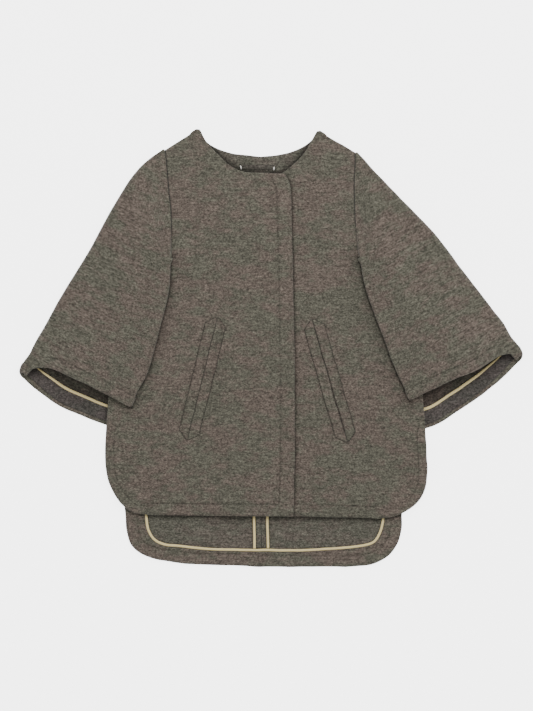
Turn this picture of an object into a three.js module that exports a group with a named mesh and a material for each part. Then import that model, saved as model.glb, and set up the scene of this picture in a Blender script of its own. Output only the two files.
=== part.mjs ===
// A wool cape coat for a child of four or five, laid flat on its back.
// +Y points to the neck, +Z is up, and +X is the wearer's left.
// Every panel is one thickness of cloth, and the panels lie on each other.
// The sleeves are tubes whose underarm is tucked in, with the body's side lying in the tuck.
import * as THREE from 'three';

// Driving dimensions in millimetres.
const CLOTH = 2.5;
const LAYER_GAP = 0.5;
const SEAM_GAP = 0.3;
const FACING = 1.2;
const BINDING = 1.6;
const WELT = 1.8;
const CURVED_GAP = 0.6;
const LABEL = 0.6;
const PITCH = CLOTH + LAYER_GAP;
const CENTRE_BACK = -12.5;
const UNDERLAP_EDGE = -44;
const UNDERLAP_RAMP = { start: 62, end: 27 };

// The sleeve's shape: the roll at its outer fold, and how far its front stands up.
const OUTER_ROLL = 5;
const SLEEVE_CROWN = 3;
const CUFF_CROWN = 7;
const CUFF_FACING_DEPTH = 26;
const CUFF_BINDING_WIDTH = 4.2;

// The fronts stand a little off the back, which leaves room for the facings between them.
const FRONT_PUFF = 2.3;
const CHEST_BILLOW = 2.5;

const wool = new THREE.MeshStandardMaterial({ color: 0x655e54, roughness: 0.95, metalness: 0 });
const woolInside = new THREE.MeshStandardMaterial({ color: 0x605c50, roughness: 0.95, metalness: 0 });
const cream = new THREE.MeshStandardMaterial({ color: 0xd8cca2, roughness: 0.85, metalness: 0 });

// Outlines of the wearer's right half. Each runs from the neck end to the hem end,
// and a cuff runs from the sleeve's outer fold to its inner one.
const RIGHT = {
  inward: 1,
  overarm: [
    { x: -135.5, y: 247 }, { x: -151, y: 236 }, { x: -172.5, y: 214.5 }, { x: -197.5, y: 175 },
    { x: -225, y: 125 }, { x: -255, y: 75 }, { x: -277.5, y: 35 }, { x: -313, y: -24 },
  ],
  armhole: [
    { x: -132, y: 246 }, { x: -127.5, y: 200.5 }, { x: -124, y: 157.5 }, { x: -124, y: 112.5 },
  ],
  underarm: [
    { x: -124, y: 112.5 }, { x: -130, y: 91 }, { x: -142, y: 76 }, { x: -156, y: 70 },
  ],
  frontFold: [
    { x: -124, y: 112.5 }, { x: -126.5, y: 72.5 }, { x: -139, y: 20 }, { x: -153, y: -29 },
    { x: -167, y: -56 }, { x: -174.5, y: -74 },
  ],
  backFold: [
    { x: -124, y: 112.5 }, { x: -126.5, y: 72.5 }, { x: -139, y: 20 }, { x: -153, y: -29 },
    { x: -179, y: -104 },
  ],
  valley: [
    { x: -156, y: 70 }, { x: -181, y: 12.5 }, { x: -197, y: -30 }, { x: -201, y: -48 },
  ],
  frontCuff: [
    { x: -305, y: -20 }, { x: -287.5, y: -24 }, { x: -269, y: -27 }, { x: -251, y: -34 },
    { x: -216, y: -51 }, { x: -174.5, y: -74 },
  ],
  backCuff: [
    { x: -307, y: -38.5 }, { x: -301.3, y: -44.3 }, { x: -285, y: -57.7 }, { x: -260, y: -74 },
    { x: -237, y: -84.2 }, { x: -208.5, y: -95.3 }, { x: -179, y: -104 },
  ],
  frontSide: [
    { x: -156, y: 70 }, { x: -181, y: 12.5 }, { x: -197, y: -30 }, { x: -203, y: -65 },
    { x: -206.5, y: -130 }, { x: -205, y: -155 }, { x: -199, y: -175 }, { x: -186, y: -194.5 },
    { x: -172.5, y: -205 }, { x: -154, y: -208 },
  ],
  backSide: [
    { x: -156, y: 70 }, { x: -181, y: 12.5 }, { x: -197, y: -30 }, { x: -197, y: -65 },
    { x: -194.5, y: -115 }, { x: -182, y: -205 }, { x: -180.5, y: -227.5 }, { x: -175, y: -245 },
    { x: -162.5, y: -256 }, { x: -141, y: -264 }, { x: -107.5, y: -269.5 },
  ],
  neckline: [
    { x: -90, y: 272 }, { x: -79.5, y: 256.5 }, { x: -58, y: 233 }, { x: -47, y: 224.5 },
    { x: -36, y: 220 }, { x: -4, y: 218 }, { x: 17.5, y: 217 },
  ],
  frontEdge: [
    { x: 17.5, y: 217 }, { x: 23, y: 205 }, { x: 26, y: 147.5 }, { x: 28.5, y: 60 },
    { x: 29.5, y: -115 }, { x: 28, y: -210 },
  ],
  backNeck: [
    { x: -90, y: 272 }, { x: -85, y: 262.5 }, { x: -77.5, y: 254.5 }, { x: -64.5, y: 247 },
    { x: -47, y: 242 }, { x: CENTRE_BACK - SEAM_GAP, y: 238 },
  ],
  backCentre: [
    { x: CENTRE_BACK - SEAM_GAP, y: 238 }, { x: CENTRE_BACK - SEAM_GAP, y: -273 },
  ],
  // The line where a panel starts to lie over the folded sleeve, as x at each height y.
  rest: [
    { y: -175, x: -205 }, { y: -110, x: -184 }, { y: -74, x: -174.5 }, { y: -29, x: -153 },
    { y: 20, x: -139 }, { y: 72.5, x: -126.5 }, { y: 112.5, x: -124 }, { y: 157.5, x: -124 },
    { y: 200.5, x: -127.5 }, { y: 246, x: -132 },
  ],
  shoulder: { tip: { x: -132, y: 246 }, neck: { x: -90, y: 272 } },
  pocket: { top: { x: -66.8, y: 37.6 }, bottom: { x: -104.3, y: -113.9 } },
  cuffSlant: { x: 0, y: -11 },
};

// Outlines of the wearer's left half, whose front goes under the right one.
const LEFT = {
  inward: -1,
  overarm: [
    { x: 109, y: 244.5 }, { x: 124, y: 226 }, { x: 142.5, y: 206 }, { x: 172.5, y: 175.5 },
    { x: 201, y: 146 }, { x: 225, y: 115 }, { x: 256, y: 75 }, { x: 314.5, y: -2.5 },
  ],
  armhole: [
    { x: 105, y: 243 }, { x: 103.5, y: 197.5 }, { x: 105, y: 154 }, { x: 110, y: 112.5 },
  ],
  underarm: [
    { x: 110, y: 112.5 }, { x: 117, y: 91 }, { x: 130, y: 76 }, { x: 144, y: 70 },
  ],
  frontFold: [
    { x: 110, y: 112.5 }, { x: 116.5, y: 79 }, { x: 127.5, y: 45.5 }, { x: 140.5, y: 12.5 },
    { x: 151.5, y: -19 }, { x: 173, y: -65.5 },
  ],
  backFold: [
    { x: 110, y: 112.5 }, { x: 116.5, y: 79 }, { x: 127.5, y: 45.5 }, { x: 140.5, y: 12.5 },
    { x: 169, y: -107.5 },
  ],
  valley: [
    { x: 144, y: 70 }, { x: 169, y: 12.5 }, { x: 184.5, y: -30 }, { x: 187.5, y: -42 },
  ],
  frontCuff: [
    { x: 307, y: 2 }, { x: 294.5, y: -3 }, { x: 276, y: -13 }, { x: 257.5, y: -24 },
    { x: 221, y: -39.5 }, { x: 173, y: -65.5 },
  ],
  backCuff: [
    { x: 307.5, y: -18.3 }, { x: 303.5, y: -22.5 }, { x: 287.5, y: -38.2 },
    { x: 254.7, y: -64 }, { x: 230.7, y: -79.9 }, { x: 204.9, y: -95.9 }, { x: 169, y: -107.5 },
  ],
  frontSide: [
    { x: 144, y: 70 }, { x: 169, y: 12.5 }, { x: 184.5, y: -30 }, { x: 189, y: -60 },
    { x: 194, y: -135 }, { x: 194.5, y: -157 }, { x: 192.5, y: -174 }, { x: 186, y: -188 },
    { x: 175.5, y: -199 }, { x: 156.5, y: -209 }, { x: 135, y: -212.5 },
  ],
  backSide: [
    { x: 144, y: 70 }, { x: 169, y: 12.5 }, { x: 184.5, y: -30 }, { x: 181, y: -65 },
    { x: 177, y: -115 }, { x: 164, y: -205 }, { x: 163, y: -225 }, { x: 157.5, y: -244 },
    { x: 146, y: -259.5 }, { x: 127.5, y: -269.5 }, { x: 92.5, y: -273 },
  ],
  neckline: [
    { x: 58.5, y: 270 }, { x: 50, y: 256.5 }, { x: 43.5, y: 246 }, { x: 32.5, y: 233 },
    { x: 21.5, y: 223 }, { x: 13, y: 218 }, { x: -11, y: 215.5 }, { x: UNDERLAP_EDGE, y: 215 },
  ],
  frontEdge: [
    { x: UNDERLAP_EDGE, y: 215 }, { x: UNDERLAP_EDGE, y: -208 },
  ],
  backNeck: [
    { x: 58.5, y: 270 }, { x: 53, y: 261 }, { x: 45.5, y: 253.5 }, { x: 28.5, y: 245 },
    { x: 9, y: 240 }, { x: CENTRE_BACK + SEAM_GAP, y: 238 },
  ],
  backCentre: [
    { x: CENTRE_BACK + SEAM_GAP, y: 238 }, { x: CENTRE_BACK + SEAM_GAP, y: -273 },
  ],
  rest: [
    { y: -175, x: 197 }, { y: -107.5, x: 172 }, { y: -65.5, x: 165 }, { y: -19, x: 151.5 },
    { y: 12.5, x: 140.5 }, { y: 45.5, x: 127.5 }, { y: 79, x: 116.5 }, { y: 112.5, x: 110 },
    { y: 154, x: 105 }, { y: 197.5, x: 103.5 }, { y: 243, x: 105 },
  ],
  shoulder: { tip: { x: 105, y: 243 }, neck: { x: 58.5, y: 270 } },
  pocket: { top: { x: 51.3, y: 35.8 }, bottom: { x: 94.8, y: -116.6 } },
  cuffSlant: { x: -1.5, y: -12 },
};

const { lerp, smoothstep } = THREE.MathUtils;

// How many rows a body panel has beside each stretch of its outer edge, and its columns.
const PANEL_ROWS = { neck: 4, armhole: 4, underarm: 3, side: 13 };
const PANEL_COLUMNS = 11;
const COLUMN_CROWDING = 1.3;
const NECK_SHARE = 0.35;
const EDGE_AT_FOLD = 0.2;
const EDGE_AT_UNDERARM = 0.32;

// A smooth curve through a table of points.
function curve(table) {
  const points = table.map(({ x, y }) => new THREE.Vector3(x, y, 0));
  return new THREE.CatmullRomCurve3(points, false, 'centripetal');
}

// The value of x at height y, straight between the rows of a table sorted by y.
function lineAt(table, y) {
  const above = table.findIndex((row) => row.y > y);
  if (above === 0) {
    return table[0].x;
  }
  if (above < 0) {
    return table[table.length - 1].x;
  }
  const low = table[above - 1];
  const high = table[above];
  return lerp(low.x, high.x, (y - low.y) / (high.y - low.y));
}

// The middle of a layer of cloth with this many layers under it.
const level = (layers) => CLOTH / 2 + layers * PITCH;

const halfAt = (x) => (x < CENTRE_BACK ? RIGHT : LEFT);
const insideRest = (half, x, y) => half.inward * (x - lineAt(half.rest, y));

// The body's sides lie on two layers of folded sleeve, from the armhole to below the cuff.
const LIFT = { full: 4, gone: 62, armTop: 185, armFull: 113, cuffFull: -112, cuffGone: -168 };

function lift(x, y) {
  const across = 1 - smoothstep(insideRest(halfAt(x), x, y), LIFT.full, LIFT.gone);
  const above = 1 - smoothstep(y, LIFT.armFull, LIFT.armTop);
  const below = smoothstep(y, LIFT.cuffGone, LIFT.cuffFull);
  return 2 * PITCH * across * above * below;
}

const backMiddle = (x, y) => level(0) + lift(x, y);

// The fronts part from the back away from the shoulder, the armhole and the side seam.
const PUFF = { start: 3, full: 45, shoulder: 26, ventTop: -105, ventOpen: -150 };
const BILLOW = { y: 20, reach: 190, width: 70 };

function shoulderDistance(half, x, y) {
  const { tip, neck } = half.shoulder;
  const along = Math.atan2(neck.y - tip.y, neck.x - tip.x);
  return Math.abs(Math.sin(along) * (x - tip.x) - Math.cos(along) * (y - tip.y));
}

function frontMiddle(x, y, overlap) {
  const half = halfAt(x);
  const inside = insideRest(half, x, y);
  const open = smoothstep(-y, -PUFF.ventTop, -PUFF.ventOpen);
  const edge = lerp(smoothstep(inside, PUFF.start, PUFF.full), 1, open);
  const shoulder = smoothstep(shoulderDistance(half, x, y), 0, PUFF.shoulder);
  const middle = 1 - smoothstep(Math.abs(y - BILLOW.y), 0, BILLOW.reach);
  const billow = CHEST_BILLOW * middle * smoothstep(inside, PUFF.start, BILLOW.width);
  return level(1) + lift(x, y) + FRONT_PUFF * edge * shoulder + billow + overlap * PITCH;
}

// The right front climbs by one layer where the left one lies under it.
const underlap = (x) => (
  smoothstep(x, UNDERLAP_EDGE - UNDERLAP_RAMP.start, UNDERLAP_EDGE - UNDERLAP_RAMP.end)
);

// Points along stretches of curves, one row of points for each step.
function chain(stretches) {
  const first = stretches[0];
  const points = [first.along.getPointAt(first.from)];
  for (const { along, from, to, steps } of stretches) {
    for (let step = 1; step <= steps; step += 1) {
      points.push(along.getPointAt(lerp(from, to, step / steps)));
    }
  }
  return points;
}

// A grid between two chains, with its columns crowded towards the first one.
function between(outer, inner, columns, crowding) {
  return outer.map((start, row) => {
    const line = [];
    for (let column = 0; column <= columns; column += 1) {
      line.push(start.clone().lerp(inner[row], (column / columns) ** crowding));
    }
    return line;
  });
}

function raised(rows, height) {
  return rows.map((row) => row.map(({ x, y }) => new THREE.Vector3(x, y, height(x, y))));
}

// Unit normals of a grid of points, from its neighbours along and across.
function normals(rows, closed) {
  const lastRow = rows.length - 1;
  const count = rows[0].length;
  return rows.map((row, i) => row.map((point, j) => {
    const before = rows[Math.max(i - 1, 0)][j];
    const after = rows[Math.min(i + 1, lastRow)][j];
    const previous = closed ? (j + count - 1) % count : Math.max(j - 1, 0);
    const next = closed ? (j + 1) % count : Math.min(j + 1, count - 1);
    const along = after.clone().sub(before);
    const across = row[next].clone().sub(row[previous]);
    return along.cross(across).normalize();
  }));
}

function moved(rows, closed, distance) {
  const direction = normals(rows, closed);
  return rows.map((row, i) => row.map((point, j) => (
    point.clone().addScaledVector(direction[i][j], distance)
  )));
}

function flatMoved(rows, distance) {
  return rows.map((row) => row.map(({ x, y, z }) => new THREE.Vector3(x, y, z + distance)));
}

// A closed solid between two grids of points, which may be rings.
function solid(upper, lower, closed) {
  const rowCount = upper.length;
  const count = upper[0].length;
  const positions = [...upper, ...lower].flat().flatMap(({ x, y, z }) => [x, y, z]);
  const at = (side, i, j) => (side * rowCount + i) * count + (j % count);
  const faces = [];
  const quad = (a, b, c, d) => faces.push(a, b, c, a, c, d);
  const lastColumn = closed ? count : count - 1;
  for (let j = 0; j < lastColumn; j += 1) {
    for (let i = 0; i < rowCount - 1; i += 1) {
      quad(at(0, i, j), at(0, i + 1, j), at(0, i + 1, j + 1), at(0, i, j + 1));
      quad(at(1, i, j), at(1, i, j + 1), at(1, i + 1, j + 1), at(1, i + 1, j));
    }
    quad(at(0, 0, j), at(0, 0, j + 1), at(1, 0, j + 1), at(1, 0, j));
    const end = rowCount - 1;
    quad(at(0, end, j), at(1, end, j), at(1, end, j + 1), at(0, end, j + 1));
  }
  if (!closed) {
    for (let i = 0; i < rowCount - 1; i += 1) {
      quad(at(0, i, 0), at(1, i, 0), at(1, i + 1, 0), at(0, i + 1, 0));
      const end = count - 1;
      quad(at(0, i, end), at(0, i + 1, end), at(1, i + 1, end), at(1, i, end));
    }
  }
  const geometry = new THREE.BufferGeometry();
  geometry.setAttribute('position', new THREE.Float32BufferAttribute(positions, 3));
  geometry.setIndex(signedVolume(positions, faces) > 0 ? faces : faces.toReversed());
  geometry.computeVertexNormals();
  return geometry;
}

function signedVolume(positions, faces) {
  const corner = (index) => new THREE.Vector3().fromArray(positions, 3 * index);
  let volume = 0;
  for (let face = 0; face < faces.length; face += 3) {
    const [a, b, c] = faces.slice(face, face + 3).map(corner);
    volume += a.dot(b.cross(c)) / 6;
  }
  return volume;
}

const coat = new THREE.Group();

function add(name, geometry, material) {
  const mesh = new THREE.Mesh(geometry, material);
  mesh.name = name;
  coat.add(mesh);
}

// A panel keeps its plan, so its two faces are moved straight up and down.
function addFlat(name, rows, thickness, material) {
  add(name, solid(flatMoved(rows, thickness / 2), flatMoved(rows, -thickness / 2), false), material);
}

// A panel of the body between its outer edge and its inner edge.
function panelRows(half, sideTable, neckTable, edgeTable) {
  const armhole = curve(half.armhole);
  const edge = curve(edgeTable);
  const { neck, armhole: arm, underarm, side } = PANEL_ROWS;
  const outer = chain([
    { along: armhole, from: 0, to: NECK_SHARE, steps: neck },
    { along: armhole, from: NECK_SHARE, to: 1, steps: arm },
    { along: curve(half.underarm), from: 0, to: 1, steps: underarm },
    { along: curve(sideTable), from: 0, to: 1, steps: side },
  ]);
  const inner = chain([
    { along: curve(neckTable), from: 0, to: 1, steps: neck },
    { along: edge, from: 0, to: EDGE_AT_FOLD, steps: arm },
    { along: edge, from: EDGE_AT_FOLD, to: EDGE_AT_UNDERARM, steps: underarm },
    { along: edge, from: EDGE_AT_UNDERARM, to: 1, steps: side },
  ]);
  const seam = outer.map(({ x, y }) => new THREE.Vector3(x + half.inward * SEAM_GAP, y, 0));
  return between(seam, inner, PANEL_COLUMNS, COLUMN_CROWDING);
}

// A sleeve goes round in eight stretches: four layers of cloth and the four turns between them.
const SLEEVE_ROWS = 11;
const SLEEVE_STEPS = { layer: 9, leaf: 4, turn: 4 };
const CAP_BLEND = 0.2;
const SEAM_RISE = { from: 0.6, to: 0.92 };
const CROWN_SHARE = 0.6;
const FIT_REACH = 0.2;
const CORNER_REACH = 0.06;
const ARMHOLE_GAP = 0.5;
const SLANT_START = 0.86;

// A curve set between two new end points.
function fitted(along, start, end) {
  const first = start.clone().sub(along.getPointAt(0));
  const last = end.clone().sub(along.getPointAt(1));
  return (t) => along.getPointAt(t)
    .addScaledVector(first, 1 - smoothstep(t, 0, FIT_REACH))
    .addScaledVector(last, smoothstep(t, 1 - FIT_REACH, 1));
}

// The place between four edges: two folds along the sleeve and two rims across it.
function coons(foldA, foldB, rimA, rimB) {
  const corner = [foldA(0), foldB(0), foldA(1), foldB(1)];
  return (s, t) => foldA(s).multiplyScalar(1 - t)
    .addScaledVector(foldB(s), t)
    .addScaledVector(rimA(t), 1 - s)
    .addScaledVector(rimB(t), s)
    .addScaledVector(corner[0], -(1 - s) * (1 - t))
    .addScaledVector(corner[1], -(1 - s) * t)
    .addScaledVector(corner[2], -s * (1 - t))
    .addScaledVector(corner[3], -s * t);
}

// The direction square to a downward curve in plan: towards +X, or -X where the sign is -1.
function square(along, s, sign) {
  const { x, y } = along.getTangentAt(s);
  return new THREE.Vector3(-y, x, 0).multiplyScalar(sign);
}

function sleeve(half) {
  const overarm = curve(half.overarm);
  const frontFold = curve(half.frontFold);
  const backFold = curve(half.backFold);
  const valley = curve(half.valley);
  const turnRadius = PITCH / 2;
  const valleyRadius = 1.5 * PITCH;
  const cap = (s) => smoothstep(s, 0, CAP_BLEND);
  const outerTop = (s) => lerp(level(1), level(0) + 2 * OUTER_ROLL, cap(s));
  const outerRadius = (s) => (outerTop(s) - level(0)) / 2;
  const seam = curve(half.armhole.map(({ x, y }) => ({ x: x - half.inward * ARMHOLE_GAP, y })));
  const inset = (along, radius, sign, start) => {
    const beside = (s) => (
      along.getPointAt(s).addScaledVector(square(along, s, sign), CLOTH / 2 + radius(s))
    );
    const toSeam = start.clone().sub(beside(0));
    return (s) => beside(s).addScaledVector(toSeam, 1 - smoothstep(s, 0, CORNER_REACH));
  };
  const outerLine = inset(overarm, outerRadius, half.inward, seam.getPointAt(0));
  // The cuff's outer end is cut on a slant: its back reaches further than its front.
  const slant = new THREE.Vector3(half.cuffSlant.x, half.cuffSlant.y, 0);
  const slanted = (s, angle) => (
    slant.clone().multiplyScalar(smoothstep(s, SLANT_START, 1) * (1 - Math.sin(angle)) / 2)
  );
  const outerBack = (s) => outerLine(s).add(slanted(s, -Math.PI / 2));
  const frontLine = inset(frontFold, () => turnRadius, -half.inward, seam.getPointAt(1));
  const backLine = inset(backFold, () => turnRadius, -half.inward, seam.getPointAt(1));
  const valleyLine = (s) => valley.getPointAt(s).add(new THREE.Vector3(-half.inward, 0, 0));
  const underarm = curve(half.underarm);
  const straight = (from, to) => new THREE.LineCurve3(from, to);
  const front = coons(
    outerLine,
    frontLine,
    fitted(seam, outerLine(0), frontLine(0)),
    fitted(curve(half.frontCuff), outerLine(1), frontLine(1)),
  );
  const back = coons(
    outerBack,
    backLine,
    fitted(seam, outerBack(0), backLine(0)),
    fitted(curve(half.backCuff), outerBack(1), backLine(1)),
  );
  const upperLeaf = coons(
    frontLine,
    valleyLine,
    fitted(underarm, frontLine(0), valleyLine(0)),
    fitted(straight(frontLine(1), valleyLine(1)), frontLine(1), valleyLine(1)),
  );
  const lowerLeaf = coons(
    backLine,
    valleyLine,
    fitted(underarm, backLine(0), valleyLine(0)),
    fitted(straight(backLine(1), valleyLine(1)), backLine(1), valleyLine(1)),
  );
  const frontHeight = (s, t, y) => {
    const rise = level(1) + 2 * PITCH * (1 - smoothstep(y, LIFT.armFull, LIFT.armTop))
      + 2 * PITCH * smoothstep(t, SEAM_RISE.from, SEAM_RISE.to);
    const crown = (SLEEVE_CROWN + CUFF_CROWN * s * s) * Math.sin(Math.PI * t) ** 2;
    const rolled = lerp(level(0) + 2 * OUTER_ROLL, level(5), smoothstep(t, 0, CROWN_SHARE));
    return lerp(rise, rolled + crown, cap(s));
  };
  const turn = (line, along, sign, centre, radius, angle) => (s) => {
    const out = square(along, s, sign).multiplyScalar(radius(s) * Math.cos(angle));
    return line(s).add(out).setZ(centre(s) + radius(s) * Math.sin(angle));
  };
  return {
    front: (t) => (s) => {
      const place = front(s, t);
      return place.setZ(frontHeight(s, t, place.y));
    },
    back: (t) => (s) => back(s, t).setZ(level(0)),
    upper: (t) => (s) => upperLeaf(s, t).setZ(level(4)),
    lower: (t) => (s) => lowerLeaf(s, t).setZ(level(1)),
    frontTurn: (angle) => turn(
      frontLine, frontFold, half.inward, () => level(4.5), () => turnRadius, angle,
    ),
    backTurn: (angle) => turn(
      backLine, backFold, half.inward, () => level(0.5), () => turnRadius, angle,
    ),
    valleyTurn: (angle) => turn(
      valleyLine, valley, -half.inward, () => level(2.5), () => valleyRadius, angle,
    ),
    outerTurn: (angle) => {
      const round = turn(
        outerLine, overarm, -half.inward, (s) => level(0) + outerRadius(s), outerRadius, angle,
      );
      return (s) => round(s).add(slanted(s, angle));
    },
  };
}

// Evenly spaced values, with the two ends left out where a turn joins a layer.
const spread = (from, to, steps) => (
  Array.from({ length: steps + 1 }, (unused, step) => lerp(from, to, step / steps))
);
const turnAngles = (from, to) => spread(from, to, SLEEVE_STEPS.turn).slice(1, -1);
const UP = Math.PI / 2;

function sleeveStations(wall) {
  const { layer, leaf } = SLEEVE_STEPS;
  return [
    ...spread(0, 1, layer).map(wall.front),
    ...turnAngles(UP, -UP).map(wall.frontTurn),
    ...spread(0, 1, leaf).map(wall.upper),
    ...turnAngles(UP, -UP).map(wall.valleyTurn),
    ...spread(1, 0, leaf).map(wall.lower),
    ...turnAngles(UP, -UP).map(wall.backTurn),
    ...spread(1, 0, layer).map(wall.back),
    ...turnAngles(-UP, UP).map(wall.outerTurn),
  ];
}

// Points of a sleeve's wall beside the cuff, as a strip that starts some way up from the hem.
const FACING_STEPS = { back: 7, front: 5 };

function cuffStrip(half, wall, fromHem, width, rowCount, thickness) {
  const { back, front } = FACING_STEPS;
  const stations = [
    ...spread(back / SLEEVE_STEPS.layer, 0, back).map(wall.back),
    ...turnAngles(-UP, UP).map(wall.outerTurn),
    ...spread(0, front / SLEEVE_STEPS.layer, front).map(wall.front),
  ];
  const nearHem = 0.9;
  const rows = spread(fromHem + width, fromHem, rowCount).map((distance) => (
    stations.map((station) => {
      const length = station(1).distanceTo(station(nearHem)) / (1 - nearHem);
      return station(1 - distance / length);
    })
  ));
  const inward = -half.inward * (CLOTH / 2 + CURVED_GAP + thickness / 2);
  const middle = moved(rows, false, inward);
  return solid(
    moved(middle, false, thickness / 2),
    moved(middle, false, -thickness / 2),
    false,
  );
}

const HEM_CLEARANCE = 1.5;

for (const [side, half] of [['right', RIGHT], ['left', LEFT]]) {
  const covers = side === 'right';
  const frontRows = panelRows(half, half.frontSide, half.neckline, half.frontEdge);
  const frontHeight = (x, y) => frontMiddle(x, y, covers ? underlap(x) : 0);
  addFlat(`front_${side}`, raised(frontRows, frontHeight), CLOTH, wool);

  const backRows = panelRows(half, half.backSide, half.backNeck, half.backCentre);
  addFlat(`back_${side}`, raised(backRows, backMiddle), CLOTH, woolInside);

  const wall = sleeve(half);
  const stations = sleeveStations(wall);
  const rings = spread(0, 1, SLEEVE_ROWS).map((s) => stations.map((station) => station(s)));
  const outside = moved(rings, true, CLOTH / 2);
  const inside = moved(rings, true, -CLOTH / 2);
  add(`sleeve_${side}`, solid(outside, inside, true), wool);

  const facingWidth = CUFF_FACING_DEPTH - CUFF_BINDING_WIDTH - HEM_CLEARANCE;
  const facing = cuffStrip(half, wall, HEM_CLEARANCE, facingWidth, 2, FACING);
  add(`cuff_facing_${side}`, facing, woolInside);
  const bindingFrom = CUFF_FACING_DEPTH - CUFF_BINDING_WIDTH + CURVED_GAP;
  const binding = cuffStrip(half, wall, bindingFrom, CUFF_BINDING_WIDTH, 1, BINDING);
  add(`cuff_binding_${side}`, binding, cream);

  addPocket(side, half, frontHeight);
}

// Two welts side by side, pointed at their ends, on top of a front.
function addPocket(side, half, frontHeight) {
  const POCKET_WIDTH = 27;
  const POINT = 9.5;
  const BLUNT = 3;
  const SLIT = 0.8;
  const POCKET_GAP = 0.8;
  const top = new THREE.Vector3(half.pocket.top.x, half.pocket.top.y, 0);
  const bottom = new THREE.Vector3(half.pocket.bottom.x, half.pocket.bottom.y, 0);
  const down = bottom.clone().sub(top).normalize();
  const across = new THREE.Vector3(-down.y, down.x, 0);
  const length = top.distanceTo(bottom);
  const distances = [0, ...spread(POINT, length - POINT, 8), length];
  for (const [name, sign] of [['inner', half.inward], ['outer', -half.inward]]) {
    const outward = across.clone().multiplyScalar(sign * half.inward);
    const rows = distances.map((distance) => {
      const fromEnd = Math.min(distance, length - distance);
      const reach = lerp(BLUNT, POCKET_WIDTH / 2, Math.min(fromEnd / POINT, 1));
      return spread(SLIT / 2, reach, 2).map((offset) => (
        top.clone().addScaledVector(down, distance).addScaledVector(outward, offset)
      ));
    });
    const height = (x, y) => frontHeight(x, y) + CLOTH / 2 + POCKET_GAP + WELT / 2;
    addFlat(`pocket_welt_${side}_${name}`, raised(rows, height), WELT, wool);
  }
}

// Points of a smooth line, moved square to it by a distance.
function beside(table, distance, steps) {
  const along = curve(table);
  return spread(0, 1, steps).map((u) => (
    along.getPointAt(u).addScaledVector(square(along, u, 1), distance)
  ));
}

// Flat pieces that lie on the inside of the back: facings, bindings, allowances and the label.
function addOnBack(name, outerTable, innerTable, options) {
  const { steps, columns, thickness, under, material, apart = [0, 0] } = options;
  const outer = beside(outerTable, apart[0], steps);
  const inner = beside(innerTable, apart[1], steps);
  const rows = between(outer, inner, columns, 1);
  const height = (x, y) => backMiddle(x, y) + CLOTH / 2 + under + SEAM_GAP + thickness / 2;
  addFlat(name, raised(rows, height), thickness, material);
}

// The hem facing follows the tail of the back and runs up both vents under the fronts.
const tailEdge = [
  { x: -180, y: -196 }, { x: -179, y: -226 }, { x: -173.5, y: -243.5 }, { x: -161.5, y: -254.5 },
  { x: -140.5, y: -262.5 }, { x: -107.5, y: -268 }, { x: -61, y: -271 }, { x: -12.5, y: -271.5 },
  { x: 36, y: -272 }, { x: 92.5, y: -271.5 }, { x: 126.5, y: -268 }, { x: 144.5, y: -258.5 },
  { x: 156, y: -243.5 }, { x: 161.5, y: -224.5 }, { x: 163, y: -196 },
];
const facingEdge = [
  { x: -158.5, y: -196 }, { x: -156, y: -212 }, { x: -153, y: -228 }, { x: -146, y: -238 },
  { x: -134, y: -244 }, { x: -104, y: -247.5 }, { x: -60, y: -250.5 }, { x: -12.5, y: -251.5 },
  { x: 36, y: -251.5 }, { x: 88, y: -248.5 }, { x: 116, y: -245.5 }, { x: 128, y: -241.5 },
  { x: 135, y: -232 }, { x: 139, y: -218 }, { x: 140.5, y: -196 },
];
const BINDING_WIDTH = 3.8;

addOnBack('back_hem_facing', tailEdge, facingEdge, {
  steps: 30, columns: 2, thickness: FACING, under: 0, material: woolInside,
});
addOnBack('back_hem_binding', facingEdge, facingEdge, {
  steps: 30, columns: 1, thickness: BINDING, under: 0, material: cream,
  apart: [SEAM_GAP, BINDING_WIDTH],
});

// The centre-back allowances are pressed open, and each has a bound edge.
const ALLOWANCE = { near: 1.2, edge: 6.5, bound: 10.2, top: -185, foot: -246.5 };

function uprightStrip(from, to) {
  const strip = (offset) => [
    { x: CENTRE_BACK + offset, y: ALLOWANCE.top },
    { x: CENTRE_BACK + offset, y: ALLOWANCE.foot },
  ];
  return [strip(from), strip(to)];
}

for (const [side, sign] of [['right', -1], ['left', 1]]) {
  const allowance = uprightStrip(sign * ALLOWANCE.near, sign * ALLOWANCE.edge);
  addOnBack(`back_seam_allowance_${side}`, ...allowance, {
    steps: 4, columns: 1, thickness: FACING, under: 0, material: woolInside,
  });
  const bound = uprightStrip(sign * (ALLOWANCE.edge + SEAM_GAP), sign * ALLOWANCE.bound);
  addOnBack(`back_seam_binding_${side}`, ...bound, {
    steps: 4, columns: 1, thickness: BINDING, under: 0, material: cream,
  });
}

// The neck facing reaches just under the edge of the fronts.
const neckFacingTop = [
  { x: -73, y: 249.5 }, { x: -63.5, y: 245 }, { x: -46.5, y: 240 }, { x: -12.5, y: 236.5 },
  { x: 8.5, y: 238.5 }, { x: 27.5, y: 243.5 }, { x: 40.5, y: 248.5 },
];
const neckFacingFoot = [
  { x: -73, y: 246.5 }, { x: -61, y: 232.5 }, { x: -44, y: 219.5 }, { x: -12.5, y: 213 },
  { x: 8.5, y: 215 }, { x: 26, y: 222 }, { x: 40.5, y: 245 },
];
addOnBack('back_neck_facing', neckFacingTop, neckFacingFoot, {
  steps: 12, columns: 2, thickness: FACING, under: 0, material: woolInside,
});

const labelTop = [{ x: -38.5, y: 228.5 }, { x: 4, y: 228 }];
const labelFoot = [{ x: -38.5, y: 222.5 }, { x: 4, y: 222.5 }];
addOnBack('neck_label', labelTop, labelFoot, {
  steps: 4, columns: 1, thickness: LABEL, under: SEAM_GAP + FACING, material: woolInside,
});

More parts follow.
